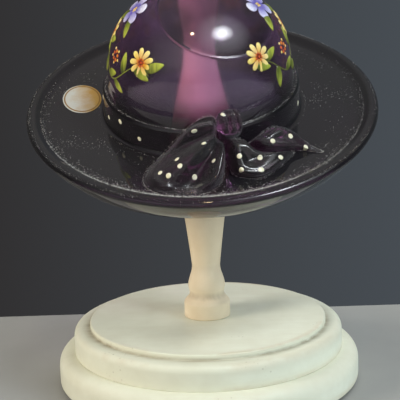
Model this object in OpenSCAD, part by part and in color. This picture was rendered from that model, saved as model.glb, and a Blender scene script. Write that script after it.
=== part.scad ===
// A glass hat with a ribbon bow, tipped forward on a painted turned stand.
// Millimetres, Z up. The origin is the middle of the stand's underside, and the
// hat's front faces -Y.

/* [Base] */
// Radius of the base at its widest
base_r = 98; // [90:1:120]
// Thickness of the felt under the base
felt_t = 2; // [1:0.5:4]
// How far the felt stays in from the edge of the base
felt_inset = 6; // [3:1:15]
// Thickness of the lower board
lower_t = 19; // [16:1:28]
// Radius of the rounding on the lower board
lower_round = 9.5; // [4:0.5:12]
// Width of the flat ledge outside the upper board
ledge_w = 1; // [0.5:0.5:6]
// Thickness of the upper board
upper_t = 19; // [16:1:28]
// Radius of the rounding on the upper board
upper_round = 7.5; // [3:0.5:10]
// Height of the small step under the top face
step_h = 3.5; // [1:0.5:5]
// Width of the small step under the top face
step_w = 3; // [1:0.5:6]
// Easing of the boards' sharp edges
ease_r = 0.8; // [0.4:0.1:1]

/* [Fixings] */
// Diameter of the dowels between the boards
dowel_d = 8; // [6:1:10]
// Length of the dowels
dowel_len = 24; // [16:1:28]
// Number of dowels
dowel_count = 3; // [2:1:6]
// Radius of the ring that the dowels stand on
dowel_ring = 55; // [35:1:60]
// Diameter of the screw's shank
screw_d = 5; // [4:0.5:6]
// Length of the screw under its head
screw_len = 56; // [46:1:68]
// Diameter of the screw's head
screw_head_d = 10; // [8:0.5:12]
// Height of the screw's head
screw_head_h = 3.2; // [2.4:0.2:4]
// Width of the slot in the screw's head
screw_slot_w = 1.4; // [1:0.1:2]
// Diameter of the washer under the screw's head
washer_d = 16; // [13:1:20]
// Thickness of the washer
washer_t = 1.5; // [1:0.5:2.5]
// Depth of the recess that hides the screw's head
recess_h = 7; // [6:1:9]
// Clearance round a fixing in its hole
fit_gap = 0.1; // [0.05:0.05:0.3]

/* [Post] */
// Height of the post over the base
post_h = 210; // [195:0.5:230]
// Diameter of the tenon under the post
tenon_d = 18; // [14:1:24]
// Length of the tenon
tenon_len = 12; // [8:1:14]
// Radius of the post's foot
foot_r = 15; // [13:0.5:20]
// Height of the foot's straight side
foot_h = 9; // [5:0.5:11]
// Radius of the groove over the foot
groove_r = 11.2; // [10:0.1:11.6]
// Height of the groove
groove_z = 15.5; // [13:0.5:17]
// Radius of the ring over the groove
ring_r = 12; // [11.7:0.1:14]
// Height of the ring
ring_z = 20.5; // [19:0.5:23]
// Radius of the neck
neck_r = 9.1; // [8:0.1:11]
// Height of the neck
neck_z = 34; // [30:0.5:40]
// Radius of the belly
belly_r = 19.5; // [15:0.5:24]
// Height of the belly
belly_z = 118; // [100:1:130]
// Radius of the waist under the post's head
waist_r = 9.5; // [8:0.1:12]
// How far the waist lies under the top
waist_drop = 34; // [26:1:50]
// Radius of the post's head
head_r = 12.5; // [12:0.5:18]
// Height of the head's straight side
head_h = 5; // [3:0.5:8]

/* [Felt pad] */
// Radius of the felt pad on the post
pad_r = 10; // [7:0.5:11]
// Thickness of the felt pad at its middle
pad_t = 3; // [2.5:0.5:5]
// Gap between the pad and the glass
seat_gap = 0.3; // [0.2:0.05:0.5]

/* [Hat] */
// How far the hat tips forward
hat_tip = 25; // [10:1:30]
// How far the hat leans sideways
hat_lean = -1.1; // [-3:0.1:3]
// Outer radius of the crown's dome
crown_r = 58; // [56:0.5:64]
// Height of the dome's centre over the brim
dome_z = 25; // [22:0.5:32]
// Thickness of the crown's glass
wall_t = 5; // [3:0.5:7]
// How far the ribbon band stands out from the crown
band_proud = 4; // [2:0.5:6]
// Height of the ribbon band
band_h = 18; // [12:0.5:20]
// Height of the band's bevelled upper edge
band_bevel = 1.2; // [0.4:0.2:2]
// Radius of the corner between band and brim
corner_r = 3.5; // [2:0.5:5]
// Radius of the brim's outer edge
brim_r = 112; // [108:1:126]
// Thickness of the brim
brim_t = 6; // [4:0.5:7]
// Width of the rolled rim's oval section
rim_w = 8; // [7:0.5:12]
// Height of the rolled rim's oval section
rim_h = 5.5; // [5:0.5:8]
// How far the rim stands over the brim's top face
rim_proud = 3.2; // [1.5:0.1:4]
// Length of the face that slants in under the rim
lip_len = 20.5; // [14:0.5:24]
// Thickness of the rim at the foot of that face
lip_t = 4.8; // [3:0.2:6]
// How far that face slants in from the upright
lip_slant = 38; // [30:1:46]
// How far the inside widens from the dome to the opening
mouth_flare = 3; // [1:0.5:4]
// Radius of the crease round the crown's flatter top
crease_r = 35; // [25:1:42]
// Radius of the crown's flatter top
cap_r = 75; // [70:1:110]
// How far the flatter top leans from the crown's middle
cap_lean = 21.5; // [0:0.5:25]
// Direction in which the flatter top leans, from the front
cap_turn = 37; // [-90:1:90]

/* [Bow] */
// Direction of the bow, from the front
bow_turn = 14.4; // [-30:0.1:30]
// Width of the knot
knot_w = 15; // [11:0.2:17]
// Height of the knot along the bow's slant
knot_h = 15; // [11:0.2:17]
// Height of the knot's middle over the corner, along the slant
knot_rise = 15; // [13:0.5:17]
// How far the knot stands out from the corner
knot_out = 23; // [20:0.5:28]
// Number of pleats in the knot
pleat_count = 3; // [2:1:5]
// Depth of the knot's pleats
pleat_h = 0.6; // [0.2:0.1:1.2]
// Reach of the left loop from the bow's middle
left_reach = 55; // [45:1:57]
// How far the left loop stands out from the corner
left_out = 23; // [18:0.5:27]
// Reach of the right loop from the bow's middle
right_reach = 35; // [29:0.5:38]
// How far the right loop stands out from the corner
right_out = 23.5; // [18:0.5:27]
// Reach of the tail from the bow's middle
tail_reach = 51.5; // [46:0.5:52]
// How far the tail stands out from the corner
tail_out = 18; // [14:0.5:22]
// Depth of the folds in the loops
fold_h = 1.6; // [0:0.1:2.5]
// Thickness of the loops at their edges
edge_t = 0.8; // [0.5:0.1:1.5]
// How far the bow stays in from the rim
bow_margin = 8.2; // [4:0.2:12]
// Gap between the knot and the loops
knot_gap = 0.5; // [0.3:0.1:1]

/* [Label] */
// Width of the oval label, across the brim
label_w = 25; // [18:0.5:28]
// Length of the oval label, along the brim
label_l = 36; // [25:0.5:42]
// Thickness of the label
label_t = 0.2; // [0.1:0.05:0.5]
// Gap between the label and the band's corner
label_gap = 1; // [0.5:0.5:4]
// Direction of the label, from the front
label_turn = -100; // [-170:1:-70]
// How far the label is turned from lying straight along the brim
label_spin = 22; // [-30:1:30]

/* [Hidden] */
$fn = 96;

// How far a cut runs past the face that it opens, and how far two joined cuts overlap
over = 1;
lap = 0.1;
// Steps along an arc, along one stretch of the post and round an oval
arc_steps = 8;
turn_steps = 8;
oval_steps = 48;

// Length of the screw's point in shank diameters, and depth of the slot in its head
point_ratio = 2;
slot_h = screw_head_h / 2;
// Clearance round the washer in its recess
recess_gap = 2 * fit_gap;

// Heights in the base
lower_top = felt_t + lower_t;
base_top = lower_top + upper_t;
recess_top = felt_t + recess_h;
head_top = recess_top - washer_t;
screw_tip = head_top + screw_len;
screw_point = point_ratio * screw_d;

// Radii in the base, from the edge inwards
upper_r = base_r - lower_round - ledge_w;
top_r = upper_r - upper_round - step_w;

// The post's turned stretches: height, radius, and the share of a straight line in the way there
post_stations = [
    [foot_h, foot_r, 1],
    [groove_z, groove_r, 0],
    [ring_z, ring_r, 0],
    [neck_z, neck_r, 0],
    [belly_z, belly_r, 0.85],
    [post_h - waist_drop, waist_r, 0.15],
    [post_h - head_h, head_r, 0.3]];
post_top = base_top + post_h;

// The hat's dome stands over the felt pad, and the hat tips about the dome's centre
inner_r = crown_r - wall_t;
dome_c = post_top + pad_t + seat_gap - inner_r;
band_r = crown_r + band_proud;
// A quarter of the band's step eases back into the crown
crown_ease = band_proud / 4;
mouth_r = inner_r + mouth_flare;
rim_c = brim_r - rim_w / 2;
rim_cz = rim_proud - rim_h / 2;
groove_share = 1 - 2 * rim_proud / rim_h;
rim_groove = rim_c - rim_w / 2 * sqrt(1 - pow(groove_share, 2));
cap_drop = sqrt(pow(cap_r, 2) - pow(crease_r, 2)) - sqrt(pow(crown_r, 2) - pow(crease_r, 2));
cap_floor = sqrt(pow(crown_r, 2) - pow(crease_r, 2)) - 2 * wall_t;

// The bow is drawn on a slanted chart: x runs along the band, q down the slant from band to
// brim and p out along it, so that band and brim are the two sides of a valley at corner_q
slant = sqrt(2);
corner_q = band_r / slant;
knot_q = corner_q - knot_rise;
loop_q = knot_q + knot_h / 2 + knot_gap;
loop_len = (rim_groove - bow_margin) / slant - loop_q;
knot_side = knot_w / 2 + knot_gap;
chart_rings = 8;
chart_steps = 3;
// A fillet in a right-angled valley fills this share of its radius at the middle
fillet_fill = slant - 1;
// How much further out the loops stand for each millimetre down the slant
out_slope = 0.15;
// How far the loops follow the crown's curve round to the sides
left_follow = 0.45;
right_follow = 0.9;
tail_follow = 0.45;
// Direction of the left loop's ridges, from straight down the slant, and the angle between them
fold_turn = 29.5;
fold_pitch = 30.5;
fold_start = 20;
// Power of the knot's rounded outline and of the loops' rounded edges
knot_power = 3;
edge_power = 4;

// Outlines of the loops: shares of the reach across, and of the loop's length down the slant
left_outline = [[0.02, -0.37], [0.15, -0.43], [0.35, -0.33], [0.6, -0.09], [0.86, 0.18], [1, 0.45],
    [0.93, 0.72], [0.67, 0.9], [0.41, 0.96], [0.18, 0.86], [0.03, 0.61], [-0.06, 0.31], [-0.06, 0.06],
    [0.02, -0.1]];
left_hub = [0.4, 0.31];
right_outline = [[-0.09, 0.01], [-0.12, 0.27], [-0.13, 0.52], [-0.08, 0.73], [0.16, 0.85], [0.41, 0.83],
    [0.68, 0.7], [1, 0.48], [0.73, 0.45], [0.47, 0.4], [0.3, 0.27], [0.19, 0.07], [0.06, 0.01]];
right_hub = [0.15, 0.51];
tail_outline = [[0.22, 0.13], [0.29, 0.07], [0.4, -0.02], [0.54, -0.1], [0.65, -0.1], [0.77, 0.01],
    [0.87, 0.25], [0.94, 0.43], [1, 0.55], [0.95, 0.57], [0.8, 0.45], [0.62, 0.39], [0.43, 0.35],
    [0.3, 0.29]];
tail_hub = [0.58, 0.18];

// Points on an arc, from one angle to another
function arc(c, r, from, to) =
    [for (i = [0:arc_steps]) let(a = from + (to - from) * i / arc_steps) c + r * [cos(a), sin(a)]];

// Points on an oval round the origin
function oval(rx, ry) =
    [for (i = [0:oval_steps - 1]) let(a = 360 * i / oval_steps) [rx * cos(a), ry * sin(a)]];

// Points round the rolled rim's section, from the middle of its oval: the rounded foot of the slanted face,
// then the oval from the top of that face over to the inside
function rim_outline() = let(
    out = [cos(lip_slant), -sin(lip_slant)],
    size = norm([rim_w * out.x, rim_h * out.y]),
    top = [pow(rim_w, 2) * out.x, pow(rim_h, 2) * out.y] / (2 * size),
    foot = top + lip_len * [out.y, -out.x] - lip_t / 2 * out,
    last = atan2(top.y / rim_h, top.x / rim_w))
    concat(
        arc(foot, lip_t / 2, -180, -lip_slant),
        [for (i = [0:oval_steps]) let(a = last + (180 - last) * i / oval_steps)
            [rim_w / 2 * cos(a), rim_h / 2 * sin(a)]]);

// A way from 0 to 1 that is part straight and part eased at both ends
function eased(t, straight) = straight * t + (1 - straight) * (1 - cos(180 * t)) / 2;

// Points [radius, height] along the turned stretch that ends at station i
function turned(s, i) = [for (k = [1:turn_steps]) let(t = k / turn_steps)
    [s[i - 1][1] + (s[i][1] - s[i - 1][1]) * eased(t, s[i][2]), s[i - 1][0] + (s[i][0] - s[i - 1][0]) * t]];

// A point on a smooth closed curve through points b and c, with a and d on either side
function curve(a, b, c, d, t) =
    b + 0.5 * t * (c - a + t * (2 * a - 5 * b + 4 * c - d + t * (3 * (b - c) + d - a)));

// A smooth closed outline through a few points
function smooth(p) = let(n = len(p)) [for (i = [0:n - 1], k = [0:chart_steps - 1])
    curve(p[(i + n - 1) % n], p[i], p[(i + 1) % n], p[(i + 2) % n], k / chart_steps)];

// How far out the band's face lies at x, and the valley's floor between band and brim
function band_y(x) = sqrt(pow(band_r, 2) - x * x);
function floor_p(x, q) =
    let(wall = slant * band_y(x) - q, fill = fillet_fill * corner_r * band_r / band_y(x))
    (q + wall) / 2 + sqrt(pow((q - wall) / 2, 2) + pow(fill, 2)) + fit_gap;

// The same floor with the step over the band's upper edge, back to the crown's side
function step_p(x, q) =
    let(crown = slant * sqrt(pow(crown_r + crown_ease, 2) - x * x) - q, ledge = q + slant * band_h)
    min(floor_p(x, q), max(crown, ledge) + fit_gap);

// How far out a loop reaches, following the crown's curve and the slant
function loop_p(x, q, out, follow) =
    corner_q + out + out_slope * (q - corner_q) - follow * (band_r - band_y(x));

// Ridges that run out from the knot
function fold_p(x, q) = let(turn = atan2(-x, q - knot_q), reach = norm([x, q - knot_q]))
    fold_h * cos(360 * (turn - fold_turn) / fold_pitch) * min(1, reach / fold_start);

// A chart point in the hat's own frame
function bow_point(x, q, p) = [x, -(p + q) / slant, (p - q) / slant];

// A board turned with a quarter-round edge that rises to a flat top
module rounded_board(r, t, round) {
    rotate_extrude() polygon(concat(
        [[0, 0], [r - ease_r, 0], [r, ease_r]],
        arc([r - round, t - round], round, 0, 90),
        [[0, t]]));
}

// Holes for the dowels, or the dowels themselves
module dowel_set(d, len) {
    for (i = [0:dowel_count - 1]) rotate(90 + 360 * i / dowel_count)
        translate([dowel_ring, 0, lower_top - len / 2]) cylinder(d = d, h = len);
}

// The felt disc under the base
module base_felt() {
    color("#3d4a3a") cylinder(r = base_r - felt_inset, h = felt_t);
}

// The lower board, with the screw's recess in its underside
module lower_plinth() {
    color("#ebe6d3") difference() {
        translate([0, 0, felt_t]) rounded_board(base_r, lower_t, lower_round);
        translate([0, 0, felt_t - over]) cylinder(d = washer_d + 2 * recess_gap, h = recess_h + over);
        cylinder(d = screw_d + 2 * fit_gap, h = base_top);
        dowel_set(dowel_d + 2 * fit_gap, dowel_len + 2 * fit_gap);
    }
}

// The upper board, with a rounded edge, a small step and the post's mortise
module upper_plinth() {
    round_top = upper_t - step_h;
    color("#ebe6d3") difference() {
        translate([0, 0, lower_top]) rotate_extrude() polygon(concat(
            [[0, 0], [upper_r, 0]],
            arc([upper_r - upper_round, round_top - upper_round], upper_round, 0, 90),
            [[top_r, round_top], [top_r, upper_t - ease_r], [top_r - ease_r, upper_t], [0, upper_t]]));
        translate([0, 0, base_top - tenon_len - fit_gap])
            cylinder(d = tenon_d + 2 * fit_gap, h = tenon_len + fit_gap + over);
        cylinder(d = screw_d + 2 * fit_gap, h = base_top);
        dowel_set(dowel_d + 2 * fit_gap, dowel_len + 2 * fit_gap);
    }
}

// The wooden dowels between the two boards
module plinth_dowels() {
    color("#d8bd8c") dowel_set(dowel_d, dowel_len);
}

// The wood screw that holds the post from below
module base_screw() {
    color("#9b9ea3") difference() {
        union() {
            translate([0, 0, head_top - screw_head_h]) cylinder(d = screw_head_d, h = screw_head_h);
            cylinder_from(head_top, screw_tip - screw_point, screw_d / 2, screw_d / 2);
            cylinder_from(screw_tip - screw_point, screw_tip, screw_d / 2, 0);
        }
        translate([-screw_head_d, -screw_slot_w / 2, head_top - screw_head_h - over])
            cube([2 * screw_head_d, screw_slot_w, over + slot_h]);
    }
}

// A cylinder or cone between two heights
module cylinder_from(z0, z1, r0, r1) {
    translate([0, 0, z0]) cylinder(r1 = r0, r2 = r1, h = z1 - z0);
}

// The flat washer under the screw's head
module screw_washer() {
    color("#b4b7bb") translate([0, 0, head_top]) difference() {
        cylinder(d = washer_d, h = washer_t);
        translate([0, 0, -over]) cylinder(d = screw_d + 2 * fit_gap, h = washer_t + 2 * over);
    }
}

// The turned post: foot, ring, neck, belly, waist and head, on a tenon
module post() {
    profile = [for (i = [1:len(post_stations) - 1]) each turned(post_stations, i)];
    color("#e6ddc6") difference() {
        union() {
            translate([0, 0, base_top]) rotate_extrude() polygon(concat(
                [[0, 0], [foot_r - ease_r, 0], [foot_r, ease_r], [foot_r, foot_h]],
                profile,
                [[head_r, post_h - ease_r], [head_r - ease_r, post_h], [0, post_h]]));
            cylinder_from(base_top - tenon_len, base_top + ease_r, tenon_d / 2, tenon_d / 2);
        }
        cylinder_from(0, screw_tip - screw_point, screw_d / 2 + fit_gap, screw_d / 2 + fit_gap);
        cylinder_from(screw_tip - screw_point - lap, screw_tip + over, screw_d / 2 + fit_gap, 0);
    }
}

// The loose felt pad, shaped to the inside of the dome
module felt_pad() {
    color("#6b5f52") difference() {
        intersection() {
            cylinder_from(post_top, post_top + pad_t + over, pad_r, pad_r);
            translate([0, 0, dome_c]) sphere(r = inner_r - seat_gap);
        }
        on_stand() cap_cut(cap_r - wall_t - seat_gap);
    }
}

// Puts the hat on the stand, tipped about the dome's centre
module on_stand() {
    translate([0, 0, dome_c]) rotate([hat_tip, hat_lean, 0]) translate([0, 0, -dome_z]) children();
}

// What the flatter top takes off a dome, down to a ball of radius r
module cap_cut(r) {
    translate([0, 0, dome_z]) rotate([0, 0, cap_turn]) rotate([cap_lean, 0, 0]) difference() {
        cylinder_from(cap_floor, crown_r + over, crown_r, crown_r);
        translate([0, 0, -cap_drop]) sphere(r = r);
    }
}

// A quarter disc over the dome's centre
module dome_quarter(r) {
    translate([0, dome_z]) intersection() {
        circle(r = r);
        square(r + over);
    }
}

// Section of the glass without its hollow: dome, band, brim and rolled rim
module hat_section() {
    dome_quarter(crown_r);
    polygon(concat(
        [[0, -brim_t], [rim_c, -brim_t], [rim_c, 0]],
        arc([band_r + corner_r, corner_r], corner_r, 270, 180),
        [[band_r, band_h - band_bevel], [band_r - band_bevel, band_h]],
        [[crown_r + crown_ease, band_h], [crown_r, dome_z], [0, dome_z]]));
    translate([rim_c, rim_cz]) polygon(rim_outline());
}

// Section of the hollow: the dome's inside, and a mouth that widens to a rounded edge
module hollow_section() {
    edge = brim_t / 2;
    dome_quarter(inner_r);
    polygon(concat(
        [[0, dome_z], [inner_r, dome_z]],
        arc([mouth_r + edge, -edge], edge, 180, 270),
        [[mouth_r + edge, -brim_t - over], [0, -brim_t - over]]));
}

// The hat's glass in one blown shell: crown with its flatter top, band, brim and rim
module glass_hat() {
    color("#4a2a48") on_stand() difference() {
        rotate_extrude() hat_section();
        cap_cut(cap_r);
        difference() {
            rotate_extrude() hollow_section();
            cap_cut(cap_r - wall_t);
        }
    }
}

// A swollen glass lobe in the valley between band and brim. Rings run out from the hub to the
// outline, the top is highest at the hub, and the underside lies on band and brim
module lobe(hub, rim, out_p, under_p = function(x, q) floor_p(x, q)) {
    m = len(rim);
    share = [for (k = [0:chart_rings]) sin(90 * k / chart_rings)];
    chart = concat([hub], [for (k = [1:chart_rings], j = [0:m - 1]) hub + (rim[j] - hub) * share[k]]);
    swell = concat([1], [for (k = [1:chart_rings], j = [0:m - 1]) sqrt(1 - pow(share[k], edge_power))]);
    n = len(chart);
    under = [for (c = chart) under_p(c.x, c.y)];
    top = [for (i = [0:n - 1]) let(c = chart[i])
        under[i] + edge_t + swell[i] * max(0, out_p(c.x, c.y) - under[i] - edge_t)];
    points = concat(
        [for (i = [0:n - 1]) bow_point(chart[i].x, chart[i].y, top[i])],
        [for (i = [0:n - 1]) bow_point(chart[i].x, chart[i].y, under[i])]);
    at = function(k, j) k == 0 ? 0 : 1 + (k - 1) * m + j % m;
    upper = concat(
        [for (j = [0:m - 1]) [0, at(1, j), at(1, j + 1)]],
        [for (k = [1:chart_rings - 1], j = [0:m - 1]) [at(k, j), at(k + 1, j), at(k + 1, j + 1)]],
        [for (k = [1:chart_rings - 1], j = [0:m - 1]) [at(k, j), at(k + 1, j + 1), at(k, j + 1)]]);
    lower = [for (f = upper) [f[0] + n, f[2] + n, f[1] + n]];
    side = [for (j = [0:m - 1]) let(a = at(chart_rings, j), b = at(chart_rings, j + 1))
        each [[a, a + n, b], [b, a + n, b + n]]];
    on_stand() rotate(bow_turn) polyhedron(points, concat(upper, lower, side));
}

// A loop's outline or hub, from shares of its reach and of the loop's length
function across(c, start, reach) = [start + c.x * (reach - start), loop_q + c.y * loop_len];
function mirrored(c) = [-c.x, c.y];

// The broad folded loop on the left
module bow_left_loop() {
    color("#553052") lobe(
        mirrored(across(left_hub, knot_side, left_reach)),
        [for (c = smooth(left_outline)) mirrored(across(c, knot_side, left_reach))],
        function(x, q) loop_p(x, q, left_out, left_follow) + fold_p(x, q));
}

// The curled loop on the right
module bow_right_loop() {
    color("#553052") lobe(
        across(right_hub, 0, right_reach),
        [for (c = smooth(right_outline)) across(c, 0, right_reach)],
        function(x, q) loop_p(x, q, right_out, right_follow));
}

// The pointed tail behind the right loop
module bow_tail() {
    color("#553052") lobe(
        across(tail_hub, 0, tail_reach),
        [for (c = smooth(tail_outline)) across(c, 0, tail_reach)],
        function(x, q) loop_p(x, q, tail_out, tail_follow));
}

// The pleated knot on the band
module bow_knot() {
    rounded = function(s) sign(s) * pow(abs(s), 2 / knot_power);
    color("#553052") lobe(
        [0, knot_q],
        [for (i = [0:oval_steps - 1]) let(a = 360 * i / oval_steps)
            [knot_w / 2 * rounded(cos(a)), knot_q + knot_h / 2 * rounded(sin(a))]],
        function(x, q) corner_q + knot_out + pleat_h * cos(360 * pleat_count * x / knot_w),
        function(x, q) step_p(x, q));
}

// The blank oval label on the brim
module paper_label() {
    color("#d9cfae") on_stand() rotate(label_turn)
        translate([0, -(band_r + corner_r + label_gap + label_w / 2), 0])
            rotate(label_spin) linear_extrude(label_t) polygon(oval(label_l / 2, label_w / 2));
}

base_felt();
lower_plinth();
upper_plinth();
plinth_dowels();
base_screw();
screw_washer();
post();
felt_pad();
glass_hat();
bow_left_loop();
bow_right_loop();
bow_tail();
bow_knot();
paper_label();
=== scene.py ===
"""A glass hat with a ribbon bow, tipped forward on a cream-painted turned stand.

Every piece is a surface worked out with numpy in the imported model's frame: +Z up, the hat's front
towards -Y. Sizes are in millimetres and repeat those of the part's source; meshes are in metres.
"""

import logging
import math
from dataclasses import dataclass, field, replace
from enum import Enum
from functools import partial
from typing import Callable, Mapping, NamedTuple, Optional, Sequence

import bpy
import numpy as np
from mathutils import Matrix


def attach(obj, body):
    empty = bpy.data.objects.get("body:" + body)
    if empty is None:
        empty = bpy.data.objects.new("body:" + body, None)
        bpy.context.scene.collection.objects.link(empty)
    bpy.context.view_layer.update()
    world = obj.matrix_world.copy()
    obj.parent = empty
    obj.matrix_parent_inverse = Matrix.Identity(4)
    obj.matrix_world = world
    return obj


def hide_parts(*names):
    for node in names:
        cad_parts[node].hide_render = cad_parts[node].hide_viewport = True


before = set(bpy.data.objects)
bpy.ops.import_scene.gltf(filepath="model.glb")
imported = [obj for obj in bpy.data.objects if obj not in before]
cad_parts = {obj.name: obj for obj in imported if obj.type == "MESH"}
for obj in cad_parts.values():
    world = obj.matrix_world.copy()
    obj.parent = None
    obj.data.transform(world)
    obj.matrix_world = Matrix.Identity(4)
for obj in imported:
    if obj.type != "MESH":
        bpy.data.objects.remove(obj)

LOG = logging.getLogger("glass_hat")
Array = np.ndarray
Chart = Callable[[Array, Array], Array]
Random = np.random.Generator
Pair = tuple[float, float]
Triple = Colour = tuple[float, float, float]
Tree, Node, Socket = bpy.types.NodeTree, bpy.types.Node, bpy.types.NodeSocket
Material, Object = bpy.types.Material, bpy.types.Object
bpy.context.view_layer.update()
MM = 0.001
SLANT = math.sqrt(2)
UP = np.array([0.0, 0.0, 1.0])
# How far painted strokes begin over the glass, and how thick the bow's edges are.
PAINT_LIFT = 0.05
BOW_EDGE_T = 0.8


class Body(Enum):
    """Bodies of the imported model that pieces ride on."""

    STAND = "stand"
    PAD = "pad"
    HAT = "hat"


class Slot(Enum):
    """Material slots, one to each kind of material."""

    BASE_FELT = "base_felt"
    PAINT = "cream_paint"
    PAD_FELT = "pad_felt"
    GLASS = "amethyst_glass"
    FOIL = "foil_label"


# Meshes


@dataclass
class Shape:
    """Points and faces of one closed surface, with named values at its points."""

    points: Array
    quads: Array
    tris: Array
    marks: dict[str, Array] = field(default_factory=dict)

    def volume(self) -> float:
        """The signed volume: the sum over triangles of a . (b x c) / 6."""
        tris = np.concatenate([self.tris, self.quads[:, [0, 1, 2]], self.quads[:, [0, 2, 3]]])
        a, b, c = (self.points[tris[:, i]] for i in range(3))
        return float(np.einsum("ij,ij->i", a, np.cross(b, c)).sum() / 6)

    def outward(self) -> "Shape":
        """The same surface with its faces turned outwards."""
        if self.volume() < 0:
            self.quads, self.tris = self.quads[:, ::-1], self.tris[:, ::-1]
        return self


def rings(grid: Array, first: Optional[Array], last: Optional[Array], loop: bool = False,
          marks: Optional[Mapping[str, Array]] = None) -> Shape:
    """Closes rows of points into a surface. Each row is a ring, and neighbouring rings are joined.

    Args:
        grid: Points, as rows by columns by 3; the columns run round the ring.
        first: The single point before the first row, or None.
        last: The single point after the last row, or None.
        loop: Whether the last row joins the first one.
        marks: Named values, rows by columns; a pole takes the mean of its ring.

    Returns:
        The closed surface, faces outwards.
    """
    rows, cols = grid.shape[:2]
    index = np.arange(rows * cols).reshape(rows, cols)
    upper = index if loop else index[:-1]
    lower = np.roll(index, -1, axis=0) if loop else index[1:]
    sides = [upper, lower, np.roll(lower, -1, axis=1), np.roll(upper, -1, axis=1)]
    quads = np.stack(sides, -1).reshape(-1, 4)
    points, tris = [grid.reshape(-1, 3)], []
    values = {key: [np.asarray(value, float).reshape(-1)] for key, value in (marks or {}).items()}
    count = rows * cols
    for pole, ring in ((first, index[0]), (last, index[-1])):
        if pole is None:
            continue
        turned = np.roll(ring, -1)
        tip = np.full(cols, count)
        pair = (turned, ring) if ring[0] else (ring, turned)
        tris.append(np.stack([tip, *pair], -1))
        points.append(np.asarray(pole, float).reshape(1, 3))
        for key, parts in values.items():
            parts.append(parts[0][ring].mean(keepdims=True))
        count += 1
    none = np.zeros((0, 3), int)
    shape = Shape(np.concatenate(points), quads, np.concatenate(tris) if tris else none,
                  {key: np.concatenate(parts) for key, parts in values.items()})
    return shape.outward()


def joined(shapes: Sequence[Shape]) -> Shape:
    """One surface out of several, each keeping its own points.

    Args:
        shapes: Surfaces with the same marks.

    Returns:
        The joined surface.
    """
    starts = np.cumsum([0] + [len(s.points) for s in shapes[:-1]])
    return Shape(
        np.concatenate([s.points for s in shapes]),
        np.concatenate([s.quads + n for s, n in zip(shapes, starts)]),
        np.concatenate([s.tris + n for s, n in zip(shapes, starts)]),
        {key: np.concatenate([s.marks[key] for s in shapes]) for key in shapes[0].marks})


def linked(name: str, data: bpy.types.ID) -> Object:
    """A new object of the scene that shows a mesh, a lamp or a camera."""
    obj = bpy.data.objects.new(name, data)
    bpy.context.scene.collection.objects.link(obj)
    return obj


def piece(name: str, shape: Shape, finish: Material, body: Body, slot: Slot,
          stands_for: Sequence[str] = ()) -> Object:
    """Puts a surface into the scene as one piece of the object.

    Args:
        name: Name of the piece.
        shape: Its surface, in millimetres in the model's frame.
        finish: Its material.
        body: Body that it moves with.
        slot: The slot that its material belongs to; not used.
        stands_for: Nodes that it replaces.

    Returns:
        The new object, at the origin.
    """
    mesh = bpy.data.meshes.new(name)
    faces = shape.quads.tolist() + shape.tris.tolist()
    mesh.from_pydata((shape.points * MM).tolist(), [], faces)
    mesh.polygons.foreach_set("use_smooth", np.ones(len(faces), bool))
    for key, values in shape.marks.items():
        mesh.attributes.new(key, "FLOAT", "POINT").data.foreach_set("value", values.astype(np.float32))
    mesh.materials.append(finish)
    mesh.update()
    obj = linked(name, mesh)
    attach(obj, body.value)
    if stands_for:
        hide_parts(*stands_for)
    LOG.info("%s: %d points, %d faces, rides on %s", name, len(shape.points), len(faces), body.value)
    return obj


def around(count: int) -> Array:
    """Angles, in radians, of evenly spaced points round a circle."""
    return 2 * np.pi * np.arange(count) / count


def unit(vectors: Array) -> Array:
    """Vectors along the last axis, brought to length 1."""
    return vectors / np.linalg.norm(vectors, axis=-1, keepdims=True)


def and_back(rows: Array) -> Array:
    """Rows of a grid, followed by the same rows in reverse."""
    return np.concatenate([rows, rows[::-1]])


def curved(start: Array, bend: Array, end: Array, share: Array) -> Array:
    """Points of a quadratic curve from start to end that is pulled towards bend."""
    return (1 - share) ** 2 * start + 2 * share * (1 - share) * bend + share ** 2 * end


def rounded_path(corners: Sequence[Triple], steps: int = 6, reach: float = 3.0, most: float = 0.48) -> Array:
    """A line through corners, each rounded by a curve that is tangent to both its sides.

    Args:
        corners: Radius, height and rounding of each corner, in order.
        steps: Points along one rounding.
        reach: Longest straight step.
        most: Largest share of a side that a rounding takes.

    Returns:
        Points [radius, height] along the line, with short steps beside each rounding.
    """
    flat = np.array([c[:2] for c in corners], float)
    parts = [flat[:1]]
    share = np.linspace(0, 1, steps)[:, None]
    for i in range(1, len(corners) - 1):
        if corners[i][2] <= 0:
            parts.append(flat[i:i + 1])
            continue
        back, ahead = flat[i - 1] - flat[i], flat[i + 1] - flat[i]
        far_back, far_ahead = np.linalg.norm(back), np.linalg.norm(ahead)
        half = 0.5 * math.acos(float(np.clip(back @ ahead / far_back / far_ahead, -1, 1)))
        cut = min(corners[i][2] / max(math.tan(half), 1e-6), most * far_back, most * far_ahead)
        start, end = flat[i] + back / far_back * cut, flat[i] + ahead / far_ahead * cut
        parts.append(curved(start, flat[i], end, share))
    return stepped(np.concatenate(parts + [flat[-1:]]), reach)


def stepped(line: Array, reach: float, margin: float = 0.3) -> Array:
    """Adds points to long straight steps of a line: close to both ends and evenly between.

    Args:
        line: Points of the line.
        reach: Longest step to leave.
        margin: Distance of the extra points from the ends of a step.

    Returns:
        The line with its extra points.
    """
    out = []
    for a, b in zip(line[:-1], line[1:]):
        length = float(np.linalg.norm(b - a))
        shares = np.zeros(1)
        if length > 4 * margin:
            count = max(1, math.ceil((length - 2 * margin) / reach))
            shares = np.concatenate([[0], np.linspace(margin / length, 1 - margin / length, count + 1)])
        out.append(a + (b - a) * shares[:, None])
    return np.concatenate(out + [line[-1:]])


def turned_grid(profile: Array, columns: int) -> Array:
    """A profile [radius, height] carried round the Z axis, as rows by columns by 3."""
    angle = around(columns)
    ring = np.stack([np.cos(angle), np.sin(angle), 0 * angle], -1)
    return profile[:, None, :1] * ring + profile[:, None, 1:] * UP


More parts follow.
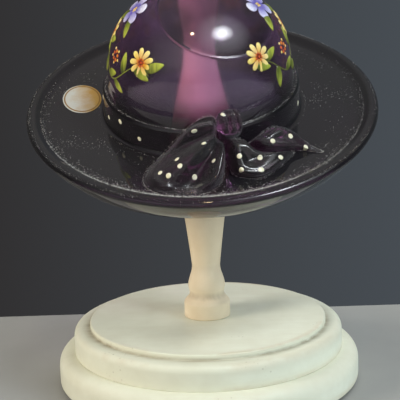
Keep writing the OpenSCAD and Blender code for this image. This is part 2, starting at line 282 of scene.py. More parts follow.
def edge_marks(profile: Array, rows: slice, columns: int, span: float = 2.5,
               full: float = 1.2) -> dict[str, Array]:
    """Marks how far each point of a turned profile is an outer edge, and how far an inner corner.

    The turn of the line at each point is summed over the points near it along the line; a turn to
    the inside of the solid is an edge, one to the outside a corner.

    Args:
        profile: Points [radius, height], running with the solid on their left.
        rows: The points that become rows of the grid.
        columns: Columns of the grid.
        span: Distance along the line over which a turn still counts.
        full: Turn in radians that makes a whole edge or corner.

    Returns:
        The marks edge and corner, from 0 to 1, as rows by columns.
    """
    step = np.diff(profile, axis=0)
    along = np.concatenate([[0], np.cumsum(np.linalg.norm(step, axis=1))])
    heading = np.unwrap(np.arctan2(step[:, 1], step[:, 0]))
    turn = np.concatenate([[0], np.diff(heading), [0]])
    near = np.exp(-((along[:, None] - along[None]) / span) ** 2)
    total = (near @ turn / full)[rows, None].repeat(columns, axis=1)
    return {"edge": np.clip(total, 0, 1), "corner": np.clip(-total, 0, 1)}


# Materials


def rgba(colour: Colour) -> tuple[float, float, float, float]:
    """A colour given as screen values from 0 to 255, as linear light with full opacity."""
    share = np.array(colour) / 255
    linear = np.where(share <= 0.04045, share / 12.92, ((share + 0.055) / 1.055) ** 2.4)
    return (*[float(v) for v in linear], 1.0)


class Net:
    """A node tree that is being filled. What its methods take are values or sockets to link from."""

    def __init__(self, tree: Tree) -> None:
        """Takes the tree to fill."""
        self.tree = tree

    def add(self, kind: str, inputs: Optional[Mapping[object, object]] = None, **settings: object) -> Node:
        """Adds a node.

        Args:
            kind: The node's type, without ShaderNode in front.
            inputs: Its sockets by name or number, each with a value or with a socket to link from.
            settings: Properties of the node.

        Returns:
            The new node.
        """
        new = self.tree.nodes.new("ShaderNode" + kind)
        for key, value in settings.items():
            setattr(new, key, value)
        for key, value in (inputs or {}).items():
            self.put(value, new.inputs[key])
        return new

    def put(self, value: object, socket: Socket) -> None:
        """Links a socket to an input, or sets the input's value."""
        if isinstance(value, Socket):
            self.tree.links.new(value, socket)
        else:
            socket.default_value = value

    def mix(self, share: object, low: object, high: object) -> Socket:
        """A mix of two colours, each a socket or screen values."""
        low, high = (c if isinstance(c, Socket) else rgba(c) for c in (low, high))
        return self.add("Mix", {0: share, 6: low, 7: high}, data_type="RGBA").outputs[2]

    def maths(self, kind: str, a: object, b: object = 0.0, clamp: bool = False) -> Socket:
        """One step of arithmetic."""
        return self.add("Math", {0: a, 1: b}, operation=kind, use_clamp=clamp).outputs[0]

    def times(self, a: object, b: object) -> Socket:
        """A product."""
        return self.maths("MULTIPLY", a, b)

    def plus(self, a: object, b: object) -> Socket:
        """A sum."""
        return self.maths("ADD", a, b)

    def minus(self, a: object, b: object) -> Socket:
        """A difference."""
        return self.maths("SUBTRACT", a, b)

    def vector(self, kind: str, a: object, b: object) -> Node:
        """One step of arithmetic on vectors."""
        return self.add("VectorMath", {0: a, 1: b}, operation=kind)

    def ranged(self, value: object, low: float, high: float, to_low: float = 0.0,
               to_high: float = 1.0) -> Socket:
        """A value mapped from one range to another, and held at its ends."""
        return self.add("MapRange", {0: value, 1: low, 2: high, 3: to_low, 4: to_high}).outputs[0]

    def noise(self, where: Socket, scale: object, **values: float) -> Socket:
        """A noise, with values for its other sockets."""
        return self.add("TexNoise", {"Vector": where, "Scale": scale, **values}).outputs[0]

    def marked(self, name: str) -> Socket:
        """A named value of the mesh's points."""
        return self.add("Attribute", attribute_name=name, attribute_type="GEOMETRY").outputs["Fac"]

    def coords(self, scale: Triple = (1, 1, 1), turn: Triple = (0, 0, 0)) -> Socket:
        """Object coordinates, turned (degrees) and scaled."""
        where = self.add("TexCoord").outputs["Object"]
        angles = tuple(math.radians(v) for v in turn)
        return self.add("Mapping", {0: where, 2: angles, 3: scale}).outputs[0]

    def masked(self, fill: "Fill", where: Socket, **values: float) -> Socket:
        """The mask of a shared effect, a node group that is made at its first use.

        Args:
            fill: Adds the group's nodes, given its net and its inputs by name, and returns its mask.
            where: Coordinates that the effect is laid out in.
            values: Its named numbers.

        Returns:
            The mask, from 0 to 1.
        """
        group = bpy.data.node_groups.get(fill.__name__) or self.grouped(fill, tuple(values))
        return self.add("Group", {"Vector": where, **values}, node_tree=group).outputs[0]

    @staticmethod
    def grouped(fill: "Fill", names: Sequence[str]) -> Tree:
        """A new node group that takes a vector and named numbers and puts out a mask.

        Args:
            fill: Adds the group's nodes.
            names: Names of the numbers.

        Returns:
            The group.
        """
        tree = bpy.data.node_groups.new(fill.__name__, "ShaderNodeTree")
        tree.interface.new_socket("Vector", in_out="INPUT", socket_type="NodeSocketVector")
        for name, side in (*((name, "INPUT") for name in names), ("Mask", "OUTPUT")):
            tree.interface.new_socket(name, in_out=side, socket_type="NodeSocketFloat")
        mask = fill(Net(tree), tree.nodes.new("NodeGroupInput").outputs)
        tree.links.new(mask, tree.nodes.new("NodeGroupOutput").inputs[0])
        return tree

    def surface(self, inputs: Mapping[str, object], height: Optional[Socket] = None,
                depth: float = 0.0) -> Socket:
        """A Principled shader with an optional bump.

        Args:
            inputs: Sockets of the shader.
            height: Height of the bump.
            depth: Depth of the bump in millimetres.

        Returns:
            The shader's socket.
        """
        shader = self.add("BsdfPrincipled", inputs)
        if height is not None:
            bump = self.add("Bump", {"Strength": 1.0, "Distance": depth * MM, "Height": height})
            self.put(bump.outputs[0], shader.inputs["Normal"])
        return shader.outputs[0]


Fill = Callable[[Net, Mapping[str, Socket]], Socket]


def mottle(net: Net, start: Mapping[str, Socket]) -> Socket:
    """Soft uneven patches: noise on two scales, drawn apart around its middle."""
    wide = net.noise(start["Vector"], start["Scale"], Detail=3.0)
    fine = net.noise(start["Vector"], net.times(start["Scale"], 6.0), Detail=4.0)
    return net.ranged(net.plus(net.times(wide, 0.7), net.times(fine, 0.3)), 0.34, 0.66)


def specks(net: Net, start: Mapping[str, Socket]) -> Socket:
    """Small scattered specks: the middles of noisy cells that are near enough and picked by patches."""
    cells = net.add("TexVoronoi", {"Vector": start["Vector"], "Scale": start["Scale"],
                                   "Randomness": 1.0}).outputs
    dots = net.ranged(cells["Distance"], 0.12, 0.28, 1.0, 0.0)
    picked = net.ranged(net.add("SeparateColor", {0: cells["Color"]}).outputs[0], 0.5, 0.9)
    patch = net.noise(start["Vector"], net.times(start["Scale"], 0.06), Detail=2.0)
    level = net.minus(0.75, net.times(start["Amount"], 0.5))
    chosen = net.maths("MULTIPLY", net.minus(patch, level), 8.0, clamp=True)
    return net.times(net.times(dots, picked), chosen)


def streaks(net: Net, start: Mapping[str, Socket]) -> Socket:
    """Fine parallel strokes: noise that is drawn out along the vector's Z."""
    narrow = net.vector("MULTIPLY", start["Vector"], (1.0, 1.0, 0.06)).outputs[0]
    return net.ranged(net.noise(narrow, start["Scale"], Detail=5.0, Roughness=0.6), 0.3, 0.7)


@dataclass(frozen=True)
class Finish:
    """A named finish. Each kind adds its own nodes."""

    name: str

    def material(self) -> Material:
        """Makes the material."""
        made = bpy.data.materials.new(self.name)
        made.use_nodes = True
        made.node_tree.nodes.clear()
        net = Net(made.node_tree)
        net.add("OutputMaterial", dict(enumerate(self.ends(net))))
        return made

    def ends(self, net: Net) -> Sequence[Socket]:
        """Adds the finish's nodes.

        Args:
            net: The material's net.

        Returns:
            The sockets for the material's surface and, where it has one, its volume.
        """
        raise NotImplementedError


@dataclass(frozen=True)
class PaintFinish(Finish):
    """Brushed paint on turned wood: uneven tone, strokes, rubbed edges and painted shade in inner corners."""

    tone: Colour
    shade: Colour
    wood: Colour = (176, 148, 108)
    # Colour of the dirt specks, and of the painted shade in inner corners.
    grime_and_corner_shade: Colour = (128, 112, 86)
    lay: Triple = (0, 0, 0)
    grain: float = 260.0
    rough: float = 0.36

    def ends(self, net: Net) -> Sequence[Socket]:
        """Adds the paint's nodes."""
        where = net.coords()
        patches = net.masked(mottle, where, Scale=16.0)
        strokes = net.masked(streaks, net.coords(turn=self.lay), Scale=self.grain)
        dirt = net.masked(specks, where, Scale=420.0, Amount=0.35)
        rubbed = net.times(net.marked("edge"), net.ranged(patches, 0.45, 0.8, 0.0, 0.34))
        # Inner corners are darkened towards that colour: painted shade.
        corner = net.times(net.marked("corner"), net.ranged(strokes, 0.0, 1.0, 0.3, 0.75))
        coat = net.mix(patches, self.shade, self.tone)
        for share, colour in ((net.times(strokes, 0.22), self.shade), (rubbed, self.wood),
                              (corner, self.grime_and_corner_shade), (net.times(dirt, 0.5), self.grime_and_corner_shade)):
            coat = net.mix(share, coat, colour)
        rough = net.ranged(net.plus(patches, strokes), 0.0, 2.0, self.rough - 0.06, self.rough + 0.14)
        height = net.plus(net.times(strokes, 0.7), net.times(patches, 0.5))
        return [net.surface({"Base Color": coat, "Roughness": rough, "Specular IOR Level": 0.4},
                            height, 0.05)]


@dataclass(frozen=True)
class FeltFinish(Finish):
    """Pressed wool felt: matted fibres, flecks and a soft sheen."""

    tone: Colour
    fleck: Colour

    def ends(self, net: Net) -> Sequence[Socket]:
        """Adds the felt's nodes."""
        where = net.coords()
        patches = net.masked(mottle, where, Scale=90.0)
        fibres = net.noise(where, 900.0, Detail=6.0, Roughness=0.7, Distortion=1.5)
        wool = net.mix(net.times(patches, 0.45), self.tone, self.fleck)
        wool = net.mix(net.ranged(fibres, 0.35, 0.75, 0.0, 0.6), wool, self.fleck)
        rough = net.ranged(fibres, 0.3, 0.7, 0.85, 1.0)
        return [net.surface({"Base Color": wool, "Roughness": rough, "Sheen Weight": 0.35,
                             "Sheen Roughness": 0.5}, fibres, 0.25)]


@dataclass(frozen=True)
class GlassFinish(Finish):
    """Coloured glass: wavy from the blowing, faintly smeared, tinted by depth, dark where it is thick."""

    shape: "HatShape"
    absorbed: Colour = (0.74, 0.02, 0.78)
    density: float = 104.0
    index: float = 1.54
    polish: float = 0.045
    smeared: float = 0.05
    frosted: float = 0.12
    haze: float = 0.065
    wave: float = 0.12
    crease_h: float = 0.4
    crease_w: float = 0.6
    thin: Colour = (250, 248, 250)
    thick: Colour = (52, 42, 50)

    def ends(self, net: Net) -> Sequence[Socket]:
        """Adds the glass's nodes; lamps shine through it in straight lines."""
        where = net.coords()
        smear = net.masked(mottle, where, Scale=28.0)
        waves = net.noise(where, 55.0, Detail=1.0)
        height = net.plus(net.times(waves, self.wave), net.times(self.crease(net, where), self.crease_h))
        rough = net.plus(net.ranged(smear, 0.45, 1.0, self.polish, self.polish + self.smeared),
                         net.times(net.marked("frost"), self.frosted))
        swirl = net.times(net.marked("deep"), net.ranged(smear, 0.0, 1.0, 0.96, 1.0))
        tint = net.mix(swirl, self.thin, self.thick)
        bent = net.surface({"Base Color": tint, "Roughness": rough, "IOR": self.index,
                            "Transmission Weight": 1.0, "Sheen Weight": self.haze,
                            "Sheen Roughness": 0.6}, height, 1.0)
        straight = net.add("BsdfTransparent", {0: tint}).outputs[0]
        shadow = net.add("LightPath").outputs["Is Shadow Ray"]
        both = net.add("MixShader", {0: shadow, 1: bent, 2: straight}).outputs[0]
        depth = net.add("VolumeAbsorption", {"Color": (*self.absorbed, 1.0), "Density": self.density})
        return [both, depth.outputs[0]]

    def crease(self, net: Net, where: Socket) -> Socket:
        """A fine raised line along the crease, which lies in a plane across the flatter top's axis.

        Args:
            net: The material's net.
            where: Object coordinates.

        Returns:
            The line's height, from 0 to 1.
        """
        s = self.shape
        axis = s.turn() @ s.cap_axis()
        level = (s.crease_rise + s.centre_z * axis[2]) * MM
        climb = net.vector("DOT_PRODUCT", where, tuple(axis)).outputs["Value"]
        far = net.maths("ABSOLUTE", net.minus(climb, level))
        outside = net.minus(1.0, net.marked("frost"))
        return net.times(outside, net.ranged(far, 0.0, self.crease_w * MM, 1.0, 0.0))


@dataclass(frozen=True)
class EnamelFinish(Finish):
    """Fired enamel laid on with a brush: one colour runs into the other along each stroke."""

    root: Colour
    tip: Colour
    vary: Colour
    rough: float = 0.28

    def ends(self, net: Net) -> Sequence[Socket]:
        """Adds the enamel's nodes."""
        lines = net.masked(streaks, net.coords(), Scale=900.0)
        swept = net.plus(net.marked("along"), net.times(net.minus(lines, 0.5), 0.45))
        paint = net.mix(net.ranged(swept, 0.15, 0.85), self.root, self.tip)
        paint = net.mix(net.times(net.marked("shade"), 0.55), paint, self.vary)
        rough = net.ranged(lines, 0.0, 1.0, self.rough, self.rough + 0.2)
        return [net.surface({"Base Color": paint, "Roughness": rough, "Coat Weight": 0.25,
                             "Coat Roughness": 0.15}, lines, 0.06)]


@dataclass(frozen=True)
class DustFinish(Finish):
    """House dust: pale grey with warmer and darker flakes."""

    dark: Colour = (178, 172, 164)
    pale: Colour = (232, 231, 227)

    def ends(self, net: Net) -> Sequence[Socket]:
        """Adds the dust's nodes."""
        flecks = net.noise(net.coords(), 700.0, Detail=2.0)
        tone = net.mix(net.ranged(flecks, 0.35, 0.65), self.dark, self.pale)
        return [net.surface({"Base Color": tone, "Roughness": net.ranged(flecks, 0.3, 0.7, 0.8, 1.0)})]


@dataclass(frozen=True)
class FoilFinish(Finish):
    """A blank foil-faced label: pale on one side, gold on the other, inside a thin gold border."""

    pale: Colour = (216, 218, 210)
    gold: Colour = (196, 160, 86)
    line: Colour = (150, 112, 48)

    def ends(self, net: Net) -> Sequence[Socket]:
        """Adds the foil's nodes."""
        creases = net.masked(mottle, net.coords(), Scale=160.0)
        side = net.plus(net.marked("along"), net.times(creases, 0.25))
        face = net.mix(net.ranged(side, 0.35, 0.95), self.pale, self.gold)
        ring = net.marked("shade")
        border = net.times(net.ranged(ring, 0.86, 0.88), net.ranged(ring, 0.93, 0.95, 1.0, 0.0))
        face = net.mix(border, face, self.line)
        rough = net.ranged(creases, 0.0, 1.0, 0.28, 0.45)
        return [net.surface({"Base Color": face, "Roughness": rough, "Metallic": 0.25}, creases, 0.06)]


@dataclass(frozen=True)
class SteelFinish(Finish):
    """Bright zinc plate with fine turning lines and dull spots."""

    dull: Colour = (150, 152, 158)
    bright: Colour = (198, 200, 204)

    def ends(self, net: Net) -> Sequence[Socket]:
        """Adds the plate's nodes."""
        lines = net.masked(streaks, net.coords(turn=(90, 0, 0)), Scale=1500.0)
        spots = net.masked(mottle, net.coords(), Scale=260.0)
        tone = net.mix(spots, self.dull, self.bright)
        rough = net.ranged(net.plus(lines, spots), 0.0, 2.0, 0.22, 0.5)
        return [net.surface({"Base Color": tone, "Metallic": 1.0, "Roughness": rough}, lines, 0.02)]


@dataclass(frozen=True)
class BareWoodFinish(Finish):
    """Bare beech: straight grain with short dark flecks."""

    dark: Colour = (186, 150, 102)
    pale: Colour = (220, 190, 142)
    fleck: Colour = (140, 100, 62)

    def ends(self, net: Net) -> Sequence[Socket]:
        """Adds the wood's nodes."""
        grain = net.masked(streaks, net.coords(), Scale=500.0)
        flecks = net.masked(specks, net.coords(scale=(1, 1, 0.2)), Scale=900.0, Amount=0.6)
        tone = net.mix(grain, self.dark, self.pale)
        tone = net.mix(net.times(flecks, 0.6), tone, self.fleck)
        rough = net.ranged(grain, 0.0, 1.0, 0.55, 0.75)
        return [net.surface({"Base Color": tone, "Roughness": rough}, grain, 0.05)]


@dataclass(frozen=True)
class TableFinish(Finish):
    """A plain pale table top with faint patches."""

    dark: Colour = (150, 150, 148)
    pale: Colour = (160, 160, 157)

    def ends(self, net: Net) -> Sequence[Socket]:
        """Adds the table's nodes."""
        tone = net.mix(net.masked(mottle, net.coords(), Scale=5.0), self.dark, self.pale)
        return [net.surface({"Base Color": tone, "Roughness": 0.6})]


# The stand


def wavering(grid: Array, size: float, seed: int, waves: int = 4) -> Array:
    """Moves points by a slow smooth wander, as hand-sanded work has.

    The shift is a sum of sine waves along fixed slanting directions.

    Args:
        grid: Points to move.
        size: Largest shift in millimetres.
        seed: Picks the directions.
        waves: Number of waves.

    Returns:
        The moved points.
    """
    draw = np.random.default_rng(seed)
    pull = np.zeros(grid.shape)
    for _ in range(waves):
        lean, start, way = draw.normal(size=3), draw.uniform(0, 2 * np.pi), draw.normal(size=3)
        length = draw.uniform(25, 60)
        pull += np.sin(grid @ unit(lean) * 2 * np.pi / length + start)[..., None] * unit(way)
    return grid + pull * size / waves


@dataclass
class Base:
    """The round base: felt, two boards, and the fixings between and under them."""

    radius: float = 98.0
    felt_t: float = 2.0
    felt_inset: float = 6.0
    board_t: float = 19.0
    lower_round: float = 9.5
    upper_r: float = 87.5
    upper_round: float = 7.5
    step_h: float = 3.5
    top_r: float = 77.0
    recess_r: float = 8.2
    recess_h: float = 7.0
    screw_hole_r: float = 2.6
    mortise_r: float = 9.1
    mortise_h: float = 12.1
    ease: float = 1.2
    full_round: float = 1.02
    flat_at: float = 68.5
    columns: int = 240
    felt_columns: int = 180
    wander: float = 0.12
    top_z: float = 40.0

    def lower_profile(self) -> Array:
        """Section of the lower board: screw hole, recess, underside, rounded edge and top.

        Returns:
            Points [radius, height].
        """
        low, top = self.felt_t, self.felt_t + self.board_t
        return rounded_path([
            (self.screw_hole_r, low + self.recess_h, 0), (self.recess_r, low + self.recess_h, 0),
            (self.recess_r, low, 0.4), (self.radius, low, self.ease),
            (self.radius, top, self.lower_round * self.full_round), (self.flat_at, top, 0),
            (self.screw_hole_r, top, 0), (self.screw_hole_r, low + self.recess_h, 0)], 16)

    def upper_profile(self) -> Array:
        """Section of the upper board: underside, rounded edge, small step, top and mortise.

        Returns:
            Points [radius, height].
        """
        low, top = self.felt_t + self.board_t, self.top_z
        shelf = top - self.step_h
        floor = top - self.mortise_h
        return rounded_path([
            (self.screw_hole_r, low, 0), (self.upper_r, low, 0.5),
            (self.upper_r, shelf, self.upper_round * self.full_round), (self.top_r, shelf, 0.5),
            (self.top_r, top, self.ease), (self.mortise_r, top, 0.3),
            (self.mortise_r, floor, 0), (self.screw_hole_r, floor, 0), (self.screw_hole_r, low, 0)], 16)

    def board(self, profile: Array, seed: int) -> Shape:
        """One board turned from its closed section, with a slow wander in its faces."""
        grid = wavering(turned_grid(profile[:-1], self.columns), self.wander, seed)
        return rings(grid, None, None, loop=True, marks=edge_marks(profile, slice(-1), self.columns))

    def felt(self) -> Shape:
        """The felt disc: flat below, a soft rounded edge that wanders a little, flat above."""
        reach = self.radius - self.felt_inset
        profile = rounded_path([(0.0, 0.0, 0), (reach, 0.0, 0.7), (reach, self.felt_t, 0.7),
                                (0.0, self.felt_t, 0)])
        grid = turned_grid(profile[1:-1], self.felt_columns)
        angle = around(self.felt_columns)
        grid[..., :2] *= (1 + 0.002 * np.sin(7 * angle) * np.sin(3 * angle + 1))[:, None]
        return rings(grid, 0 * UP, self.felt_t * UP)

    def build(self) -> None:
        """Makes the base's pieces and dresses the fixings."""
        paint = PaintFinish("board_paint", (229, 231, 214), (213, 212, 192), lay=(0, 90, 0)).material()
        for name, profile, seed, node in (("lower_board", self.lower_profile(), 3, "lower_plinth"),
                                          ("upper_board", self.upper_profile(), 8, "upper_plinth")):
            piece(name, self.board(profile, seed), paint, Body.STAND, Slot.PAINT, [node])
        wool = FeltFinish("base_wool", (52, 66, 48), (84, 98, 76)).material()
        disc = piece("base_felt_disc", self.felt(), wool, Body.STAND, Slot.BASE_FELT, ["base_felt"])
        plate, beech = SteelFinish("zinc_plate").material(), BareWoodFinish("beech").material()
        for name, finish in (("base_screw", plate), ("screw_washer", plate), ("plinth_dowels", beech)):
            dressed(name, finish)


def dressed(name: str, finish: Material) -> None:
    """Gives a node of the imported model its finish."""
    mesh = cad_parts[name].data
    mesh.materials.clear()
    mesh.materials.append(finish)
    LOG.info("%s: kept as packed, finish %s", name, finish.name)


@dataclass
class Post:
    """The turned post: stations of height, radius and the share of a straight line on the way there."""

    foot_z: float = 40.0
    height: float = 210.0
    tenon_r: float = 9.0
    tenon_h: float = 12.0
    screw_hole_r: float = 2.6
    hole_top: float = 64.6
    point_h: float = 10.0
    foot_r: float = 15.0
    ease: float = 0.9
    stations: tuple[Triple, ...] = (
        (9.0, 15.0, 1.0), (15.5, 11.2, 0.0), (20.5, 12.0, 0.0), (34.0, 9.1, 0.0), (118.0, 19.5, 0.85),
        (176.0, 9.5, 0.15), (205.0, 12.5, 0.3))
    columns: int = 160
    long_from: float = 30.0
    short_steps: int = 13
    long_steps: int = 40
    edge_span: float = 1.6
    wander: float = 0.1
    seed: int = 21

    def side(self) -> Array:
        """The turned side: radius runs from station to station, part straight, part as half a cosine wave.

        Returns:
            Points [radius, height].
        """
        parts = []
        for (z0, r0, _), (z1, r1, straight) in zip(self.stations[:-1], self.stations[1:]):
            steps = self.short_steps if z1 - z0 < self.long_from else self.long_steps
            share = np.linspace(0, 1, steps)[1:]
            way = straight * share + (1 - straight) * (1 - np.cos(np.pi * share)) / 2
            parts.append(np.stack([r0 + (r1 - r0) * way, z0 + (z1 - z0) * share], -1))
        return np.concatenate(parts)

    def profile(self) -> Array:
        """Section of the post: screw hole, tenon, foot, turned side and head.

        Returns:
            Points [radius, height].
        """
        first, head_r = self.stations[0], self.stations[-1][1]
        low = rounded_path([
            (0.0, self.hole_top - self.foot_z, 0),
            (self.screw_hole_r, self.hole_top - self.point_h - self.foot_z, 0),
            (self.screw_hole_r, -self.tenon_h, 0), (self.tenon_r, -self.tenon_h, 0.4), (self.tenon_r, 0.0, 0),
            (self.foot_r, 0.0, self.ease), (self.foot_r, first[0], 0.0)])
        high = rounded_path([(head_r, self.stations[-1][0], 0), (head_r, self.height, self.ease),
                             (0.0, self.height, 0)])
        line = np.concatenate([low, self.side(), high[1:]])
        return line + [0.0, self.foot_z]

    def build(self) -> None:
        """Makes the post."""
        profile = self.profile()
        grid = wavering(turned_grid(profile[1:-1], self.columns), self.wander, self.seed)
        shape = rings(grid, profile[0, 1] * UP, profile[-1, 1] * UP,
                      marks=edge_marks(profile, slice(1, -1), self.columns, self.edge_span))
        # The post's cream is a warmer, darker copy of the boards' paint: painted warm light and the hat's
        # shade.
        paint = PaintFinish("post_paint_with_painted_light", (233, 219, 194), (216, 198, 168), grain=340.0, rough=0.42)
        piece("turned_post", shape, paint.material(), Body.STAND, Slot.PAINT, ["post"])


# The hat


@dataclass(frozen=True)
class HatShape:
    """Sizes of the hat's glass, and how it sits on the stand.

    In the hat's own frame the brim's top face lies at height 0 and the dome's centre on the axis.
    """

    tip: float = 25.0
    lean: float = -1.1
    centre_z: float = 200.3
    crown_r: float = 58.0
    dome_z: float = 25.0
    wall: float = 5.0
    band_r: float = 62.0
    band_h: float = 18.0
    band_bevel: float = 1.2
    crown_ease: float = 1.0
    corner_r: float = 3.5
    brim_r: float = 112.0
    brim_t: float = 6.0
    rim_w: float = 8.0
    rim_h: float = 5.5
    rim_proud: float = 3.2
    lip_len: float = 20.5
    lip_t: float = 4.8
    lip_slant: float = 38.0
    rim_ease: float = 2.2
    mouth_flare: float = 3.0
    crease_r: float = 35.0
    cap_r: float = 75.0
    cap_lean: float = 21.5
    cap_turn: float = 37.0
    crease_soft: float = 0.5

    @property
    def inner_r(self) -> float:
        """Radius of the dome's inside."""
        return self.crown_r - self.wall

    @property
    def rim_centre(self) -> Pair:
        """Radius and height of the middle of the rolled rim."""
        return self.brim_r - self.rim_w / 2, self.rim_proud - self.rim_h / 2

    @property
    def groove_r(self) -> float:
        """Radius at which the rolled rim meets the brim's top face."""
        share = 1 - 2 * self.rim_proud / self.rim_h
        return self.rim_centre[0] - self.rim_w / 2 * math.sqrt(1 - share ** 2)

    @property
    def crease_rise(self) -> float:
        """How far the crease's plane lies from the dome's centre, along the flatter top's axis."""
        return math.sqrt(self.crown_r ** 2 - self.crease_r ** 2)

    @property
    def cap_drop(self) -> float:
        """How far the centre of the flatter top lies under the dome's centre."""
        return math.sqrt(self.cap_r ** 2 - self.crease_r ** 2) - self.crease_rise

    def cap_axis(self) -> Array:
        """The flatter top's direction in the hat's frame: leaned to the front, then turned."""
        lean, turn = math.radians(self.cap_lean), math.radians(self.cap_turn)
        return np.array([math.sin(lean) * math.sin(turn), -math.sin(lean) * math.cos(turn), math.cos(lean)])

    def turn(self) -> Array:
        """The rotation that tips the hat: about X by the tip, then about Y by the lean."""
        a, b = math.radians(self.tip), math.radians(self.lean)
        about_x = np.array([[1, 0, 0], [0, math.cos(a), -math.sin(a)], [0, math.sin(a), math.cos(a)]])
        about_y = np.array([[math.cos(b), 0, math.sin(b)], [0, 1, 0], [-math.sin(b), 0, math.cos(b)]])
        return about_y @ about_x

    def placed(self, local: Array) -> Array:
        """Points of the hat's frame in the model's frame."""
        return (local - [0, 0, self.dome_z]) @ self.turn().T + [0, 0, self.centre_z]

    def reach(self, way: Array, shell: float = 0.0) -> Array:
        """Distance of the dome's surface from its centre along unit directions.

        It is the smaller of the dome's radius and the distance to the flatter top's ball, rounded
        where the two meet.

        Args:
            way: Unit directions in the hat's frame.
            shell: How far inside the outer surface.

        Returns:
            Distances in millimetres.
        """
        dome = self.crown_r - shell
        ball = self.cap_r - shell
        rise = way @ self.cap_axis()
        top = -self.cap_drop * rise + np.sqrt(ball ** 2 - self.cap_drop ** 2 * (1 - rise ** 2))
        share = np.clip(0.5 + 0.5 * (top - dome) / self.crease_soft, 0, 1)
        return top * (1 - share) + dome * share - self.crease_soft * share * (1 - share)


def directions(azimuth: Array, rise: Array) -> Array:
    """Unit directions from degrees: azimuth from the front to the right, rise over the dome's equator."""
    a, e = np.radians(azimuth), np.radians(rise)
    return np.stack(np.broadcast_arrays(np.sin(a) * np.cos(e), -np.cos(a) * np.cos(e), np.sin(e)), -1)


@dataclass
class GlassHat:
    """The blown shell: crown with its flatter top, ribbon band, brim and rolled rim."""

    shape: HatShape
    columns: int = 288
    dome_rows: int = 84
    inner_rows: int = 44
    thick_from: float = 36.0
    cap_deep: float = 0.76
    cap_from: float = 0.97
    cap_fade: float = 0.06
    ease_from: float = 130.0
    face_turn: float = 13.0
    face_steps: int = 14
    roll_steps: int = 40
    ease_steps: int = 8

    def azimuths(self) -> Array:
        """Azimuths of the columns, in degrees."""
        return 360 * np.arange(self.columns) / self.columns

    def dome(self, rows: int, shell: float) -> Array:
        """Rings over the dome from near its top to its equator; each point lies at its direction's reach."""
        rise = 90 - 90 * np.arange(1, rows + 1)[:, None] / rows
        way = directions(self.azimuths()[None], rise)
        return way * self.shape.reach(way, shell)[..., None] + self.shape.dome_z * UP

    def body_profile(self) -> Array:
        """Section from the crown's equator over band, brim and rolled rim to the inside's equator.

        Returns:
            Points [radius, height].
        """
        s = self.shape
        rim = self.rim_profile()
        upper = rounded_path([
            (s.crown_r, s.dome_z, 0), (s.crown_r + s.crown_ease, s.band_h, 0.5),
            (s.band_r - s.band_bevel, s.band_h, 0.5), (s.band_r, s.band_h - s.band_bevel, 0.8),
            (s.band_r, 0.0, s.corner_r), (*rim[0], 0)], 8, 2.0)
        mouth_r, edge = s.inner_r + s.mouth_flare, s.brim_t / 2
        lower = rounded_path([
            (*rim[-1], 0), (rim[-1, 0] + 0.6, -s.brim_t, s.rim_ease), (mouth_r, -s.brim_t, edge),
            (mouth_r, -edge - 0.1, 0), (s.inner_r, s.dome_z, 0)], 8, 3.0)
        return np.concatenate([upper[1:-1], rim, lower[1:-1]])

    def rim_profile(self) -> Array:
        """Section of the rolled rim, from the brim's top face to the foot of the face under the rim.

        The brim curves up into an oval, which runs over the top to the outside; a face that turns a
        little on its way slants in from there to a rounded foot.

        Returns:
            Points [radius, height].
        """
        s = self.shape
        rim_r, rim_z = s.rim_centre
        half_w, half_h = s.rim_w / 2, s.rim_h / 2
        slant = np.radians(s.lip_slant + self.face_turn * np.linspace(-0.5, 0.5, self.face_steps))
        last = math.atan2(-half_h * math.sin(slant[0]), half_w * math.cos(slant[0]))
        first = math.radians(self.ease_from)
        roll = np.linspace(first, last, self.roll_steps)[:, None]
        oval = np.array([rim_r, rim_z]) + np.concatenate([half_w * np.cos(roll), half_h * np.sin(roll)], 1)
        rise = math.atan2(half_h * math.cos(first), -half_w * math.sin(first)) + math.pi
        corner = oval[0] - [oval[0, 1] / math.tan(rise), oval[0, 1]]
        share = np.linspace(0, 1, self.ease_steps)[:-1, None]
        ease = curved(corner - [s.rim_ease, 0], corner, oval[0], share)
        down = -np.stack([np.sin(slant), np.cos(slant)], -1)
        face = oval[-1] + s.lip_len / len(slant) * np.cumsum(down, axis=0)
        centre = face[-1] - s.lip_t / 2 * np.array([math.cos(slant[-1]), -math.sin(slant[-1])])
        turn = np.linspace(-slant[-1], -math.pi, self.face_steps)[1:, None]
        foot = centre + s.lip_t / 2 * np.concatenate([np.cos(turn), np.sin(turn)], 1)
        return np.concatenate([ease, oval, face, foot])

    def build(self, glass: Material) -> None:
        """Makes the shell from its top outside, round the rim, to its top inside.

        Args:
            glass: The shell's material.
        """
        s, rows = self.shape, self.dome_rows
        body = self.body_profile()
        ring = directions(self.azimuths(), np.zeros(self.columns))
        inside = self.dome(self.inner_rows, s.wall)[::-1]
        sides = body[:, None, :1] * ring + body[:, None, 1:] * UP
        grid = np.concatenate([self.dome(rows, 0.0), sides, inside])
        deep = np.clip((self.thick_from - grid[..., 2]) / (self.thick_from - s.band_h), 0, 1)
        # The flatter top's glass is tinted darker too, though its wall is no thicker than the dome's.
        rise = (grid[:rows] - s.dome_z * UP) @ s.cap_axis() / s.crease_rise
        cap = self.cap_deep * np.clip((rise - self.cap_from) / self.cap_fade, 0, 1)
        deep[:rows] = np.maximum(deep[:rows], cap)
        frost = np.zeros(deep.shape)
        frost[-len(inside):] = 1.0
        poles = [s.placed((s.reach(UP, shell) + s.dome_z) * UP) for shell in (0.0, s.wall)]
        shell = rings(s.placed(grid), *poles, marks={"deep": deep, "frost": frost})
        piece("hat_shell", shell, glass, Body.HAT, Slot.GLASS, ["glass_hat"])


